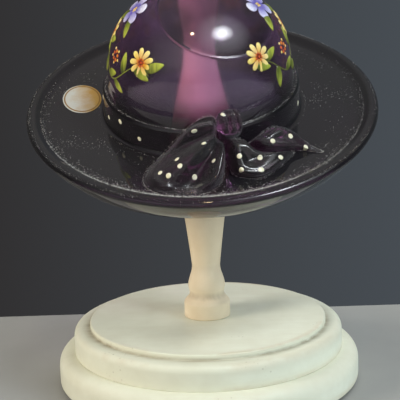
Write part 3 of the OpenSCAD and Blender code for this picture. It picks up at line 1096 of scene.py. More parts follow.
@dataclass
class PostPad:
    """The felt pad on the post, shaped to the dome's inside."""

    shape: HatShape
    radius: float = 10.0
    low_z: float = 250.0
    gap: float = 0.35
    columns: int = 96
    edge_from: float = 0.9
    edge_drop: float = 0.5

    def build(self) -> None:
        """Makes the pad: a flat underside, a soft edge, and a top under the dome and its flatter top."""
        shares = np.concatenate([np.linspace(0.08, self.edge_from, 12), [0.96, 1.0]])
        angle = around(self.columns)
        wander = 1 - 0.012 * (1 + np.sin(5 * angle + 0.4) * np.sin(9 * angle))
        ring = self.radius * wander[:, None] * np.stack([np.cos(angle), np.sin(angle)], -1)
        flat = shares[:, None, None] * ring
        drop = self.edge_drop * np.clip((shares - self.edge_from) / (1 - self.edge_from), 0, 1)
        upper = np.concatenate([flat, (self.top_z(flat) - drop[:, None])[..., None]], -1)
        lower = np.concatenate([flat, np.full((*flat.shape[:2], 1), self.low_z)], -1)
        grid = np.concatenate([upper, lower[::-1]])
        shape = rings(grid, self.top_z(np.zeros((1, 2)))[0] * UP, self.low_z * UP)
        wool = FeltFinish("pad_wool", (104, 92, 80), (142, 130, 116)).material()
        pad = piece("post_pad", shape, wool, Body.PAD, Slot.PAD_FELT, ["felt_pad"])

    def top_z(self, flat: Array) -> Array:
        """Height of the pad's top: the lower of the two balls that the dome's inside is cut from.

        Args:
            flat: Points [x, y] in the model's frame.

        Returns:
            Heights in the model's frame.
        """
        s = self.shape
        centre = s.turn() @ (-s.cap_drop * s.cap_axis()) + [0, 0, s.centre_z]
        dome = s.centre_z + np.sqrt((s.inner_r - self.gap) ** 2 - (flat ** 2).sum(-1))
        ball = s.cap_r - s.wall - self.gap
        return np.minimum(dome, centre[2] + np.sqrt(ball ** 2 - ((flat - centre[:2]) ** 2).sum(-1)))


# The bow


def smooth_loop(corners: Sequence[Pair], steps: int) -> Array:
    """A closed Catmull-Rom curve through corners, with the given number of points to each.

    Args:
        corners: Points that it goes through, in order.
        steps: Points to each corner.

    Returns:
        Points of the curve.
    """
    b = np.array(corners, float)
    a, c, d = np.roll(b, 1, axis=0), np.roll(b, -1, axis=0), np.roll(b, -2, axis=0)
    t = (np.arange(steps) / steps)[None, :, None]
    a, b, c, d = (v[:, None] for v in (a, b, c, d))
    bend = 2 * a - 5 * b + 4 * c - d + t * (3 * (b - c) + d - a)
    return (b + 0.5 * t * (c - a + t * bend)).reshape(-1, 2)


@dataclass
class Lobe:
    """One swollen lobe of the bow: a hub, an outline, and how far out its top stands."""

    name: str
    node: str
    hub: Array
    outline: Array
    top: Chart
    under: Chart
    deep: float = 0.8
    hollow: float = 0.0
    hollow_r: float = 0.8
    lip: float = 0.0
    lip_at: float = 0.84
    lip_w: float = 0.09
    pale: float = 0.0
    pale_at: Sequence[float] = (0.0, 0.0)
    pale_r: float = 11.0

    def share(self, x: Array, q: Array) -> Array:
        """How far chart points lie from the hub, as a share of the outline's distance in their direction.

        Args:
            x: First chart coordinate.
            q: Second chart coordinate.

        Returns:
            0 at the hub, 1 on the outline.
        """
        way = self.outline - self.hub
        angle, far = np.arctan2(way[:, 1], way[:, 0]), np.hypot(way[:, 0], way[:, 1])
        order = np.argsort(angle)
        x, q = x - self.hub[0], q - self.hub[1]
        return np.hypot(x, q) / np.interp(np.arctan2(q, x), angle[order], far[order], period=2 * np.pi)

    def depth(self, x: Array, q: Array) -> Array:
        """How dark the glass is at chart points: even, but for a paler patch that fades outward."""
        far = np.hypot(x - self.pale_at[0], q - self.pale_at[1])
        return self.deep - self.pale * np.exp(-(far / self.pale_r) ** 2)

    def out(self, x: Array, q: Array, share: Array) -> Array:
        """How far out the top lies: full at the hub, falling to the edge's thickness at the outline.

        A hollow dips by half a cosine wave round the hub, and a lip runs along near the outline.

        Args:
            x: First chart coordinate.
            q: Second chart coordinate.
            share: Share of the way from hub to outline.

        Returns:
            Third chart coordinate.
        """
        floor = self.under(x, q) + BOW_EDGE_T
        swell = np.sqrt(np.clip(1 - share ** 4, 0, 1)) * np.maximum(0, self.top(x, q) - floor)
        dip = self.hollow * 0.5 * (1 + np.cos(np.pi * np.clip(share / self.hollow_r, 0, 1)))
        lip = self.lip * np.exp(-((share - self.lip_at) / self.lip_w) ** 2)
        return floor + np.maximum(0, swell + lip - dip)


@dataclass
class Bow:
    """The bow of moulded glass: two loops, a tail and a knot.

    It is drawn on a slanted chart: x runs along the band, q down the slant from band to brim and p
    out along it, so that band and brim are the two sides of a valley.
    """

    shape: HatShape
    turn: float = 14.4
    knot_w: float = 15.0
    knot_h: float = 15.0
    knot_rise: float = 15.0
    knot_out: float = 23.0
    pleats: int = 3
    pleat_h: float = 1.3
    left_reach: float = 55.0
    left_out: float = 23.0
    right_reach: float = 35.0
    right_out: float = 23.5
    tail_reach: float = 51.5
    tail_out: float = 18.0
    fold_h: float = 4.6
    margin: float = 8.2
    knot_gap: float = 0.5
    seat: float = 0.1
    out_slope: float = 0.15
    fold_turn: float = 29.5
    fold_pitch: float = 30.5
    fold_grow: float = 20.0
    loop_follow: float = 0.45
    right_follow: float = 0.9
    ring_count: int = 30
    corner_steps: int = 12
    knot_points: int = 120
    edge_swell: float = 0.35

    LEFT = ((0.02, -0.37), (0.15, -0.43), (0.35, -0.33), (0.6, -0.09), (0.86, 0.18), (1, 0.45), (0.93, 0.72),
            (0.67, 0.9), (0.41, 0.96), (0.18, 0.86), (0.03, 0.61), (-0.06, 0.31), (-0.06, 0.06), (0.02, -0.1))
    RIGHT = ((-0.09, 0.01), (-0.12, 0.27), (-0.13, 0.52), (-0.08, 0.73), (0.16, 0.85), (0.41, 0.83),
             (0.68, 0.7), (1, 0.48), (0.73, 0.45), (0.47, 0.4), (0.3, 0.27), (0.19, 0.07), (0.06, 0.01))
    TAIL = ((0.22, 0.13), (0.29, 0.07), (0.4, -0.02), (0.54, -0.1), (0.65, -0.1), (0.77, 0.01), (0.87, 0.25),
            (0.94, 0.43), (1, 0.55), (0.95, 0.57), (0.8, 0.45), (0.62, 0.39), (0.43, 0.35), (0.3, 0.29))

    def __post_init__(self) -> None:
        """Works out the chart's fixed lines."""
        s = self.shape
        self.corner_q = s.band_r / SLANT
        self.knot_q = self.corner_q - self.knot_rise
        self.loop_q = self.knot_q + self.knot_h / 2 + self.knot_gap
        self.loop_len = (s.groove_r - self.margin) / SLANT - self.loop_q

    def band_y(self, x: Array) -> Array:
        """How far out the band's face lies at x."""
        return np.sqrt(self.shape.band_r ** 2 - x ** 2)

    def floor(self, x: Array, q: Array) -> Array:
        """The valley's floor: the higher of brim and band, rounded by the corner between them.

        Args:
            x: First chart coordinate.
            q: Second chart coordinate.

        Returns:
            Third chart coordinate.
        """
        s = self.shape
        wall = SLANT * self.band_y(x) - q
        fill = (SLANT - 1) * s.corner_r * s.band_r / self.band_y(x)
        return (q + wall) / 2 + np.sqrt(((q - wall) / 2) ** 2 + fill ** 2) + self.seat

    def step(self, x: Array, q: Array) -> Array:
        """The floor with the step over the band's upper edge, back to the crown's side."""
        s = self.shape
        crown = SLANT * np.sqrt((s.crown_r + s.crown_ease) ** 2 - x ** 2) - q
        return np.minimum(self.floor(x, q), np.maximum(crown, q + SLANT * s.band_h) + self.seat)

    def loop_out(self, x: Array, q: Array, out: float, follow: float) -> Array:
        """How far out a loop reaches, following the crown's curve and the slant."""
        return (self.corner_q + out + self.out_slope * (q - self.corner_q)
                - follow * (self.shape.band_r - self.band_y(x)))

    def folds(self, x: Array, q: Array) -> Array:
        """Ridges that run out from the knot: a cosine of the direction from it.

        Args:
            x: First chart coordinate.
            q: Second chart coordinate.

        Returns:
            Height of the ridges.
        """
        turn = np.degrees(np.arctan2(-x, q - self.knot_q))
        far = np.hypot(x, q - self.knot_q)
        ridge = np.cos(2 * np.pi * (turn - self.fold_turn) / self.fold_pitch)
        return self.fold_h * ridge * np.minimum(1, far / self.fold_grow)

    def across(self, shares: Array, start: float, reach: float, side: float = 1.0) -> Array:
        """Chart points from shares of a loop's reach and length.

        Args:
            shares: Pairs: share of the reach and share of the length.
            start: Where the loop begins.
            reach: Where it ends.
            side: 1 to the right, -1 to the left.

        Returns:
            Chart points [x, q].
        """
        s = np.asarray(shares, float)
        x = side * (start + s[..., 0] * (reach - start))
        return np.stack([x, self.loop_q + s[..., 1] * self.loop_len], -1)

    def knot_top(self, x: Array, q: Array) -> Array:
        """How far out the knot's pleated top lies; it is the same along q."""
        pleat = np.cos(2 * np.pi * self.pleats * x / self.knot_w)
        return self.corner_q + self.knot_out + self.pleat_h * pleat

    def lobes(self) -> list[Lobe]:
        """The four lobes with their outlines and tops."""
        left = partial(self.across, start=self.knot_w / 2 + self.knot_gap, reach=self.left_reach, side=-1.0)
        right = partial(self.across, start=0.0, reach=self.right_reach)
        tail = partial(self.across, start=0.0, reach=self.tail_reach)
        steps, angle = self.corner_steps, around(self.knot_points)
        round_x, round_y = (np.sign(v) * np.abs(v) ** (2 / 3) for v in (np.cos(angle), np.sin(angle)))
        knot = np.stack([self.knot_w / 2 * round_x, self.knot_q + self.knot_h / 2 * round_y], -1)
        return [
            Lobe("bow_loop_left", "bow_left_loop", left((0.4, 0.31)), left(smooth_loop(self.LEFT, steps)),
                 lambda x, q: self.loop_out(x, q, self.left_out, self.loop_follow) + self.folds(x, q),
                 self.floor, deep=0.65, lip=2.3, pale=0.5, pale_at=left((0.66, 0.24))),
            Lobe("bow_loop_right", "bow_right_loop", right((0.15, 0.51)),
                 right(smooth_loop(self.RIGHT, steps)),
                 lambda x, q: self.loop_out(x, q, self.right_out, self.right_follow), self.floor,
                 hollow=3.6, lip=1.1),
            Lobe("bow_tail_flap", "bow_tail", tail((0.58, 0.18)), tail(smooth_loop(self.TAIL, steps)),
                 lambda x, q: self.loop_out(x, q, self.tail_out, self.loop_follow), self.floor,
                 deep=0.65, hollow=1.4, lip=0.9),
            Lobe("bow_centre_knot", "bow_knot", np.array([0.0, self.knot_q]), knot, self.knot_top, self.step,
                 deep=0.45)]

    def placed(self, x: Array, q: Array, p: Array) -> Array:
        """Chart points in the model's frame."""
        c, s = math.cos(math.radians(self.turn)), math.sin(math.radians(self.turn))
        y, z = -(p + q) / SLANT, (p - q) / SLANT
        return self.shape.placed(np.stack([x * c - y * s, x * s + y * c, z], -1))

    def surface(self, lobe: Lobe) -> Shape:
        """A lobe's closed surface: rings from hub to outline over its top, a rounded edge, and back below.

        Args:
            lobe: The lobe.

        Returns:
            Its surface, with marks for the glass.
        """
        hub = lobe.hub
        share = np.sin(0.5 * np.pi * np.arange(1, self.ring_count + 1) / self.ring_count)[:, None]
        chart = hub + (lobe.outline - hub)[None] * share[..., None]
        x, q = chart[..., 0], chart[..., 1]
        top = self.placed(x, q, lobe.out(x, q, share))
        low = self.placed(x, q, lobe.under(x, q))[::-1]
        bulge = np.array([0.25, 0.5, 0.75])[:, None]
        moved = lobe.outline + self.edge_swell * np.sin(np.pi * bulge)[..., None] * unit(lobe.outline - hub)
        ex, eq = moved[..., 0], moved[..., 1]
        rim = lobe.under(lobe.outline[:, 0], lobe.outline[:, 1])[None]
        lift = np.maximum(lobe.under(ex, eq) - rim, 0)
        edge = self.placed(ex, eq, rim + lift + BOW_EDGE_T * (1 - bulge))
        hub_x, hub_q = hub[:1], hub[1:]
        first = self.placed(hub_x, hub_q, lobe.out(hub_x, hub_q, np.zeros(1)))
        last = self.placed(hub_x, hub_q, lobe.under(hub_x, hub_q))
        deep = np.concatenate([lobe.depth(x, q), lobe.depth(ex, eq), lobe.depth(x, q)[::-1]])
        return rings(np.concatenate([top, edge, low]), first, last, marks={"deep": deep, "frost": 0 * deep})

    def build(self, glass: Material) -> None:
        """Makes the four lobes."""
        for lobe in self.lobes():
            piece(lobe.name, self.surface(lobe), glass, Body.HAT, Slot.GLASS, [lobe.node])


# The painting


@dataclass(frozen=True)
class Canvas:
    """A place on the glass to paint on: flat millimetres around it are carried onto the surface."""

    at: Chart

    def laid(self, a: Array, b: Array, lift: Array) -> Array:
        """Points lifted off the glass along its normal, the cross product of small steps along a and b.

        Args:
            a: Millimetres to the right of the place.
            b: Millimetres up from it.
            lift: Height over the glass.

        Returns:
            Points in the model's frame.
        """
        step = 0.05
        along_a = self.at(a + step, b) - self.at(a - step, b)
        along_b = self.at(a, b + step) - self.at(a, b - step)
        return self.at(a, b) + lift[..., None] * unit(np.cross(along_a, along_b))


def crown_canvas(shape: HatShape, azimuth: float, rise: float) -> Canvas:
    """A place on the crown: a flat step moves the direction across its tangent plane.

    Args:
        shape: The hat's sizes.
        azimuth: Degrees from the front to the right.
        rise: Degrees over the dome's equator.

    Returns:
        The canvas.
    """
    out = directions(np.array(azimuth), np.array(rise))
    east = directions(np.array(azimuth + 90), np.array(0.0))
    north = np.cross(out, east)

    def at(a: Array, b: Array) -> Array:
        """Points of the crown's outer surface."""
        way = unit(out * shape.crown_r + a[..., None] * east + b[..., None] * north)
        return shape.placed(way * shape.reach(way)[..., None] + shape.dome_z * UP)

    return Canvas(at)


def band_canvas(shape: HatShape, azimuth: float, height: float) -> Canvas:
    """A place on the ribbon band: a flat step goes round the band or up it.

    Args:
        shape: The hat's sizes.
        azimuth: Degrees from the front to the right.
        height: Height over the brim.

    Returns:
        The canvas.
    """

    def at(a: Array, b: Array) -> Array:
        """Points of the band's face."""
        way = directions(azimuth + np.degrees(a / shape.band_r), 0 * a) * shape.band_r
        return shape.placed(way + (height + b)[..., None] * UP)

    return Canvas(at)


def lobe_canvas(bow: Bow, lobe: Lobe, x: float, q: float) -> Canvas:
    """A place on a lobe of the bow: a flat step is turned into steps of the chart at that place.

    Args:
        bow: The bow.
        lobe: One of its lobes.
        x: First chart coordinate.
        q: Second chart coordinate.

    Returns:
        The canvas.
    """

    def on(cx: Array, cq: Array) -> Array:
        """Points of the lobe's top."""
        return bow.placed(cx, cq, lobe.out(cx, cq, np.clip(lobe.share(cx, cq), 0, 1)))

    step, here = 0.2, (np.array(x), np.array(q))
    along_x = (on(here[0] + step, here[1]) - on(here[0] - step, here[1])) / (2 * step)
    along_q = (on(here[0], here[1] - step) - on(here[0], here[1] + step)) / (2 * step)
    right = unit(along_x)
    slip = along_q @ right
    climb = np.linalg.norm(along_q - slip * right)

    def at(a: Array, b: Array) -> Array:
        """Points of the lobe's top at flat steps."""
        return on(x + (a - slip * b / climb) / np.linalg.norm(along_x), q - b / climb)

    return Canvas(at)


class Paint(Enum):
    """The enamel colours: root, tip and the tone that some strokes lean to."""

    CREAM = ((226, 220, 190), (240, 236, 214), (206, 198, 160))
    LEAF = ((66, 74, 26), (176, 184, 70), (112, 124, 44))
    YELLOW = ((214, 150, 36), (240, 220, 120), (244, 232, 190))
    RED = ((150, 40, 22), (222, 96, 36), (236, 168, 60))
    VIOLET = ((92, 78, 168), (226, 224, 240), (132, 120, 200))


@dataclass(frozen=True)
class Stroke:
    """One touch of the brush: an oval that may narrow to its root and come to a point.

    With t round the outline, the oval is (half_l cos t, half_w sin t), its width times 1 + taper cos t,
    and times the sine's size to the power of point.
    """

    half_l: float
    half_w: float
    height: float
    taper: float = 0.0
    point: float = 0.0
    rows: int = 3
    sides: int = 16
    thinnest: float = 0.06

    def laid(self, canvas: Canvas, place: Pair, turn: float, shade: float) -> Shape:
        """Lays the stroke on a canvas.

        Args:
            canvas: Where it goes.
            place: Its middle, in flat millimetres.
            turn: Degrees from right to its tip.
            shade: How far it leans to the third tone.

        Returns:
            A closed thin patch just off the glass, swelling to its height in the middle.
        """
        angle = around(self.sides)[None] + np.pi / self.sides
        share = (np.arange(1, self.rows + 1) / self.rows)[:, None]
        u = share * self.half_l * np.cos(angle)
        v = (share * self.half_w * np.sin(angle) * np.abs(np.sin(angle)) ** self.point
             * (1 + self.taper * np.cos(angle)))
        spin = math.radians(turn)
        a = place[0] + u * math.cos(spin) - v * math.sin(spin)
        b = place[1] + u * math.sin(spin) + v * math.cos(spin)
        swell = PAINT_LIFT + self.height * np.sqrt(np.clip(1 - share ** 3, self.thinnest, 1)) + 0 * angle
        flat = np.full(a.shape, PAINT_LIFT)
        grid = np.concatenate([canvas.laid(a, b, swell), canvas.laid(a, b, flat)[::-1]])
        middle = [np.array([[float(value)]]) for value in place]
        lifts = (PAINT_LIFT + self.height, PAINT_LIFT)
        poles = [canvas.laid(*middle, np.array([[lift]]))[0, 0] for lift in lifts]
        return rings(grid, *poles, marks={"along": and_back(0.5 + 0.5 * u / self.half_l),
                                          "shade": np.full(grid.shape[:2], shade)})


@dataclass
class Dots:
    """Cream dots on bow and band."""

    bow: Bow
    half: float = 1.6
    height: float = 0.25
    seed: int = 5
    band_height: float = 9.0
    band_rows: Pair = (-2.5, 3.0)
    band_from: float = -38.2
    band_to: float = -290.0
    band_pitch: float = 15.4
    on_lobes: Mapping[str, tuple[Pair, ...]] = field(default_factory=lambda: {
        "bow_centre_knot": ((-4.2, 24.2),),
        "bow_loop_left": ((-22.6, 30.2), (-19.6, 39.0), (-15.8, 49.5), (-35.6, 43.9), (-35.7, 48.9),
                          (-46.2, 49.1), (-42.8, 52.6), (-27.8, 55.9)),
        "bow_loop_right": ((-0.6, 49.8), (11.3, 52.8), (23.8, 54.7), (9.5, 60.3), (-1.5, 57.9)),
        "bow_tail_flap": ((22.8, 43.5), (35.0, 42.1), (42.9, 50.2))})

    def build(self) -> None:
        """Lays the dots as one piece; on the band they stand in two rows by turns."""
        draw = np.random.default_rng(self.seed)
        shapes = []
        for lobe in self.bow.lobes():
            for x, q in self.on_lobes[lobe.name]:
                shapes.append(self.dot(lobe_canvas(self.bow, lobe, x, q), draw))
        for i, azimuth in enumerate(np.arange(self.band_from, self.band_to, -self.band_pitch)):
            height = self.band_height + self.band_rows[i % 2] + draw.uniform(-0.6, 0.6)
            shapes.append(self.dot(band_canvas(self.bow.shape, float(azimuth), height), draw))
        enamel = EnamelFinish("dot_enamel", *Paint.CREAM.value).material()
        piece("ribbon_dots", joined(shapes), enamel, Body.HAT, Slot.GLASS)

    def dot(self, canvas: Canvas, draw: Random) -> Shape:
        """One dot, not quite round."""
        size = self.half * draw.uniform(0.88, 1.12)
        stroke = Stroke(size, size * draw.uniform(0.86, 1.0), self.height, rows=4, sides=18)
        return stroke.laid(canvas, (0.0, 0.0), draw.uniform(0, 360), draw.uniform(0, 0.6))


def polar(reach: float, turn: float) -> Pair:
    """The flat place at a distance, and at a turn in degrees from the right."""
    return reach * math.cos(math.radians(turn)), reach * math.sin(math.radians(turn))


@dataclass(frozen=True)
class Whorl:
    """Petals set round a middle, their tips outwards: loosely turned and varied in tone, or plain."""

    paint: Paint
    petals: int
    stroke: Stroke
    reach: float
    turn: float = 0.0
    loose: float = 0.0
    plain: bool = False

    def laid(self, canvas: Canvas, draw: Random) -> list[Shape]:
        """Lays the petals on a canvas.

        Args:
            canvas: Where they go.
            draw: Source of random draws.

        Returns:
            One shape to each petal.
        """
        first = self.turn + (draw.uniform(0, self.loose) if self.loose else 0.0)
        shapes = []
        for k in range(self.petals):
            turn = first + 360 * k / self.petals
            swing, shade = (0.0, 0.0) if self.plain else (draw.uniform(-5, 5), draw.uniform(0, 0.7))
            shapes.append(self.stroke.laid(canvas, polar(self.reach, turn), turn + swing, shade))
        return shapes


LEAF = Stroke(7.0, 2.9, 0.45, taper=-0.25, point=0.35, rows=3, sides=20)
SEED = Stroke(1.0, 0.95, 0.4, rows=2, sides=10)
DAISY = (Whorl(Paint.YELLOW, 9, Stroke(3.6, 1.65, 0.45, taper=0.3, sides=14), 5.3, loose=40.0),
         Whorl(Paint.RED, 7, SEED, 2.1, loose=50.0), Whorl(Paint.RED, 1, SEED, 0.0, plain=True))
BUD = (Whorl(Paint.RED, 5, Stroke(1.25, 1.1, 0.45, rows=3, sides=12), 2.6, turn=90.0),
       Whorl(Paint.YELLOW, 5, Stroke(1.0, 0.9, 0.4, rows=2, sides=10), 4.4, turn=54.0))
BLOSSOM = (Whorl(Paint.VIOLET, 5, Stroke(5.0, 3.6, 0.5, taper=0.35, rows=4, sides=22), 6.2, loose=60.0),
           Whorl(Paint.YELLOW, 4, SEED, 1.2, turn=20.0))


@dataclass
class Garland:
    """A running garland painted round the crown: a waving vine with leaves, daisies, buds and blossoms.

    The vine's rise is a cosine wave of the azimuth; a daisy stands on each crest.
    """

    shape: HatShape
    seed: int = 17
    start: float = 34.0
    crest: float = 42.0
    pitch: float = 55.2
    rise: float = 17.0
    wave: float = 8.0
    stem_half: float = 0.55
    stem_h: float = 0.3
    daisies: int = 6
    daisy_over: float = 3.0
    bud_under: float = 2.0
    leaf_pitch: float = 9.2
    leaf_swing: float = 48.0
    blossoms: tuple[Pair, ...] = ((85.0, 50.0), (150.0, 58.0), (210.0, 58.0), (275.0, 50.0))
    blossom_leaves: Pair = (-135.0, -45.0)
    blossom_leaf_r: float = 13.5

    def vine_rise(self, azimuth: Array) -> Array:
        """The vine's rise over the dome's equator, in degrees."""
        return self.rise + self.wave * np.cos(2 * np.pi * (azimuth - self.crest) / self.pitch)

    def stem(self, azimuth: Array, rise: Array) -> Shape:
        """A painted line: a flat half-round section carried over the crown, thin at its ends.

        Args:
            azimuth: Degrees from the front to the right.
            rise: Degrees over the dome's equator.

        Returns:
            The line's closed surface.
        """
        s = self.shape
        way = directions(azimuth, rise)
        side = unit(np.cross(way, np.gradient(way, axis=0)))
        ends = np.sin(np.pi * np.linspace(0.02, 0.98, len(azimuth))) ** 0.3
        angle = np.pi * np.array([0, 0.2, 0.4, 0.6, 0.8, 1.0, 1.33, 1.67])
        across = self.stem_half * np.cos(angle)[None, :, None] * ends[:, None, None] * side[:, None]
        lift = PAINT_LIFT + self.stem_h * np.maximum(np.sin(angle), 0)[None] * ends[:, None]
        far = s.reach(way)[:, None] + lift
        points = s.placed(way[:, None] * far[..., None] + across + s.dome_z * UP)
        share = np.broadcast_to(np.linspace(0.2, 0.5, len(azimuth))[:, None], far.shape)
        return rings(points, points[0].mean(axis=0), points[-1].mean(axis=0),
                     marks={"along": share, "shade": 0 * share + 0.4})

    def leaves(self, draw: Random) -> list[Shape]:
        """Leaves along the vine, on either side by turns, and under each blossom.

        Args:
            draw: Source of random draws.

        Returns:
            One shape to each leaf.
        """
        shapes = []
        for i, azimuth in enumerate(np.arange(self.start + 3, 360 - self.start - 2, self.leaf_pitch)):
            rise = float(self.vine_rise(azimuth))
            slope = float(np.degrees(np.arctan2(self.vine_rise(azimuth + 1) - rise, 1.0)))
            turn = slope + (self.leaf_swing if i % 2 else -self.leaf_swing) + draw.uniform(-9, 9)
            size = draw.uniform(0.85, 1.12)
            leaf = replace(LEAF, half_l=LEAF.half_l * size, half_w=LEAF.half_w * size)
            canvas = crown_canvas(self.shape, float(azimuth), rise)
            shapes.append(leaf.laid(canvas, polar(leaf.half_l, turn), turn, draw.uniform(0, 0.7)))
        for place in self.blossoms:
            for turn in self.blossom_leaves:
                canvas = crown_canvas(self.shape, *place)
                shapes.append(LEAF.laid(canvas, polar(self.blossom_leaf_r, turn), turn, draw.uniform(0, 0.5)))
        return shapes

    def build(self) -> None:
        """Lays the garland, one piece to each colour."""
        draw = np.random.default_rng(self.seed)
        sets: dict[Paint, list[Shape]] = {paint: [] for paint in Paint if paint is not Paint.CREAM}
        azimuth = np.linspace(self.start, 360 - self.start, 420)
        sets[Paint.LEAF].append(self.stem(azimuth, self.vine_rise(azimuth)))
        sets[Paint.LEAF].extend(self.leaves(draw))
        top = self.rise + self.wave
        flowers = [(DAISY, self.crest + self.pitch * k, top + self.daisy_over) for k in range(self.daisies)]
        flowers += [(BUD, self.crest + self.pitch * (k + 0.5), top - self.bud_under)
                    for k in range(self.daisies - 1)]
        flowers += [(BLOSSOM, *place) for place in self.blossoms]
        for whorls, *place in flowers:
            canvas = crown_canvas(self.shape, *place)
            for whorl in whorls:
                sets[whorl.paint] += whorl.laid(canvas, draw)
        for paint, shapes in sets.items():
            name = paint.name.lower()
            enamel = EnamelFinish(f"{name}_enamel", *paint.value).material()
            piece(f"garland_{name}", joined(shapes), enamel, Body.HAT, Slot.GLASS)


class Scatter(NamedTuple):
    """How many flakes lie somewhere, and their smallest and largest half width."""

    count: int
    low: float
    high: float


@dataclass
class Dust:
    """Settled dust: small flakes, thick along grooves and edges and thin elsewhere."""

    bow: Bow
    seed: int = 29
    groove: Scatter = Scatter(6800, 0.05, 0.33)
    rim: Scatter = Scatter(1800, 0.05, 0.24)
    edge: Scatter = Scatter(1900, 0.07, 0.32)
    foot: Scatter = Scatter(700, 0.05, 0.2)
    border: Scatter = Scatter(1200, 0.06, 0.26)
    lobe: Scatter = Scatter(260, 0.03, 0.13)
    band: Scatter = Scatter(700, 0.02, 0.09)
    brim: Scatter = Scatter(1920, 0.05, 0.3)
    brim_patches: int = 120
    crown: Scatter = Scatter(1080, 0.04, 0.18)
    crown_patches: int = 60
    front_spread: float = 42.0
    front_turn: float = -6.0
    groove_gap: float = 0.9
    groove_spread: Pair = (0.9, 3.4)
    rim_in: float = 2.2
    rim_spread: float = 0.5
    foot_spread: float = 0.7
    border_gap: float = 0.5
    border_spread: float = 0.6
    brim_span: Pair = (70, 100)
    rise_span: Pair = (0, 75)
    rise_most: float = 85.0

    def __post_init__(self) -> None:
        """Starts the draws and the list of places, normals and sizes."""
        self.draw = np.random.default_rng(self.seed)
        self.spots: list[tuple[Array, Array, Array]] = []

    def keep(self, places: tuple[Array, Array], scatter: Scatter) -> None:
        """Keeps places and normals, with flake sizes that are mostly small."""
        share = self.draw.uniform(size=len(places[0])) ** 3
        self.spots.append((*places, scatter.low + (scatter.high - scatter.low) * share))

    def flakes(self, points: Array, normals: Array, size: Array) -> Shape:
        """Flattened eight-sided flakes lying on a surface.

        Args:
            points: Places on the surface.
            normals: Unit normals there.
            size: Half width of each flake.

        Returns:
            All flakes as one shape; each has two tips across, two along and one above and below.
        """
        count, draw = len(points), self.draw
        right = unit(np.cross(normals, draw.normal(size=(count, 3))))
        ahead = np.cross(normals, right) * draw.uniform(0.4, 1.0, (count, 1))
        tall = normals * draw.uniform(0.25, 0.5, (count, 1))
        tips = np.stack([right, ahead, -right, -ahead, tall, -tall], 1) * size[:, None, None]
        middle = points + normals * (0.52 * size[:, None] + 0.01)
        one = np.array([[0, 1, 4], [1, 2, 4], [2, 3, 4], [3, 0, 4],
                        [1, 0, 5], [2, 1, 5], [3, 2, 5], [0, 3, 5]])
        tris = (one[None] + 6 * np.arange(count)[:, None, None]).reshape(-1, 3)
        return Shape((middle[:, None] + tips).reshape(-1, 3), np.zeros((0, 4), int), tris).outward()

    def turned(self, azimuth: Array, radius: Array, height: Array) -> tuple[Array, Array]:
        """Places on upward faces of the hat, from azimuth, radius and height; normals are the hat's axis.

        Args:
            azimuth: Degrees from the front to the right.
            radius: Distance from the hat's axis.
            height: Height over the brim.

        Returns:
            Places and unit normals.
        """
        s = self.bow.shape
        local = directions(azimuth, 0 * azimuth) * radius[:, None] + height[:, None] * UP
        return s.placed(local), np.broadcast_to(s.turn()[:, 2], local.shape)

    def rim_height(self, radius: Array) -> Array:
        """Height of the brim's top face and of the rolled rim: the upper part of the rim's section."""
        section = GlassHat(self.bow.shape).rim_profile()
        top = section[:np.argmax(section[:, 0]) + 1]
        return np.interp(radius, top[:, 0], top[:, 1], left=0.0)

    def gathered(self, count: int, spread: float, each: int = 12, even: float = 0.4) -> Array:
        """Azimuths that crowd towards the front, where the tipped hat is lowest, in clumps.

        Args:
            count: Number of azimuths.
            spread: Degrees from the front that most of them keep to.
            each: Flakes to a clump.
            even: Share that lies in no clump.

        Returns:
            Azimuths in degrees.
        """
        draw, clumps = self.draw, count // each
        near = draw.normal(0, spread, clumps)[draw.integers(0, clumps, count)] + draw.normal(0, 3, count)
        return np.where(draw.uniform(size=count) < even, draw.normal(0, spread, count), near)

    def clumped(self, count: int, clumps: int = 24, even: float = 0.45) -> Array:
        """Azimuths that crowd in places: part even, part round random middles.

        Args:
            count: Number of azimuths.
            clumps: Number of middles.
            even: Share that is spread evenly.

        Returns:
            Azimuths in degrees.
        """
        draw = self.draw
        spread = draw.uniform(0, 360, count)
        near = draw.uniform(0, 360, clumps)[draw.integers(0, clumps, count)] + draw.normal(0, 5, count)
        return np.where(draw.uniform(size=count) < even, spread, near)

    def patched(self, middle: Array, patches: int, span: Pair, spread: float) -> Array:
        """Values round the middles of patches.

        Args:
            middle: The patch of each value.
            patches: Number of patches.
            span: Smallest and largest middle.
            spread: How far values stray from their middle.

        Returns:
            One value for each entry of middle.
        """
        return self.draw.uniform(*span, patches)[middle] + self.draw.normal(0, spread, len(middle))

    def along_edges(self) -> None:
        """Dust in the groove inside the rim, on the rim, on the band's upper edge and at the band's foot."""
        s, draw = self.bow.shape, self.draw
        azimuth = self.gathered(self.groove.count, self.front_spread)
        spread = np.where(draw.uniform(size=self.groove.count) < 0.5, *self.groove_spread)
        radius = s.groove_r - self.groove_gap - np.abs(draw.normal(0, spread))
        self.keep(self.turned(azimuth + self.front_turn, radius, self.rim_height(radius)), self.groove)
        radius = s.brim_r - self.rim_in + draw.normal(0, self.rim_spread, self.rim.count)
        self.keep(self.turned(self.clumped(self.rim.count), radius, self.rim_height(radius)), self.rim)
        radius = draw.uniform(s.crown_r + s.crown_ease + 0.3, s.band_r - s.band_bevel, self.edge.count)
        height = np.full(radius.shape, s.band_h)
        self.keep(self.turned(self.clumped(self.edge.count), radius, height), self.edge)
        radius = s.band_r + s.corner_r + np.abs(draw.normal(0, self.foot_spread, self.foot.count))
        self.keep(self.turned(self.clumped(self.foot.count), radius, 0 * radius), self.foot)

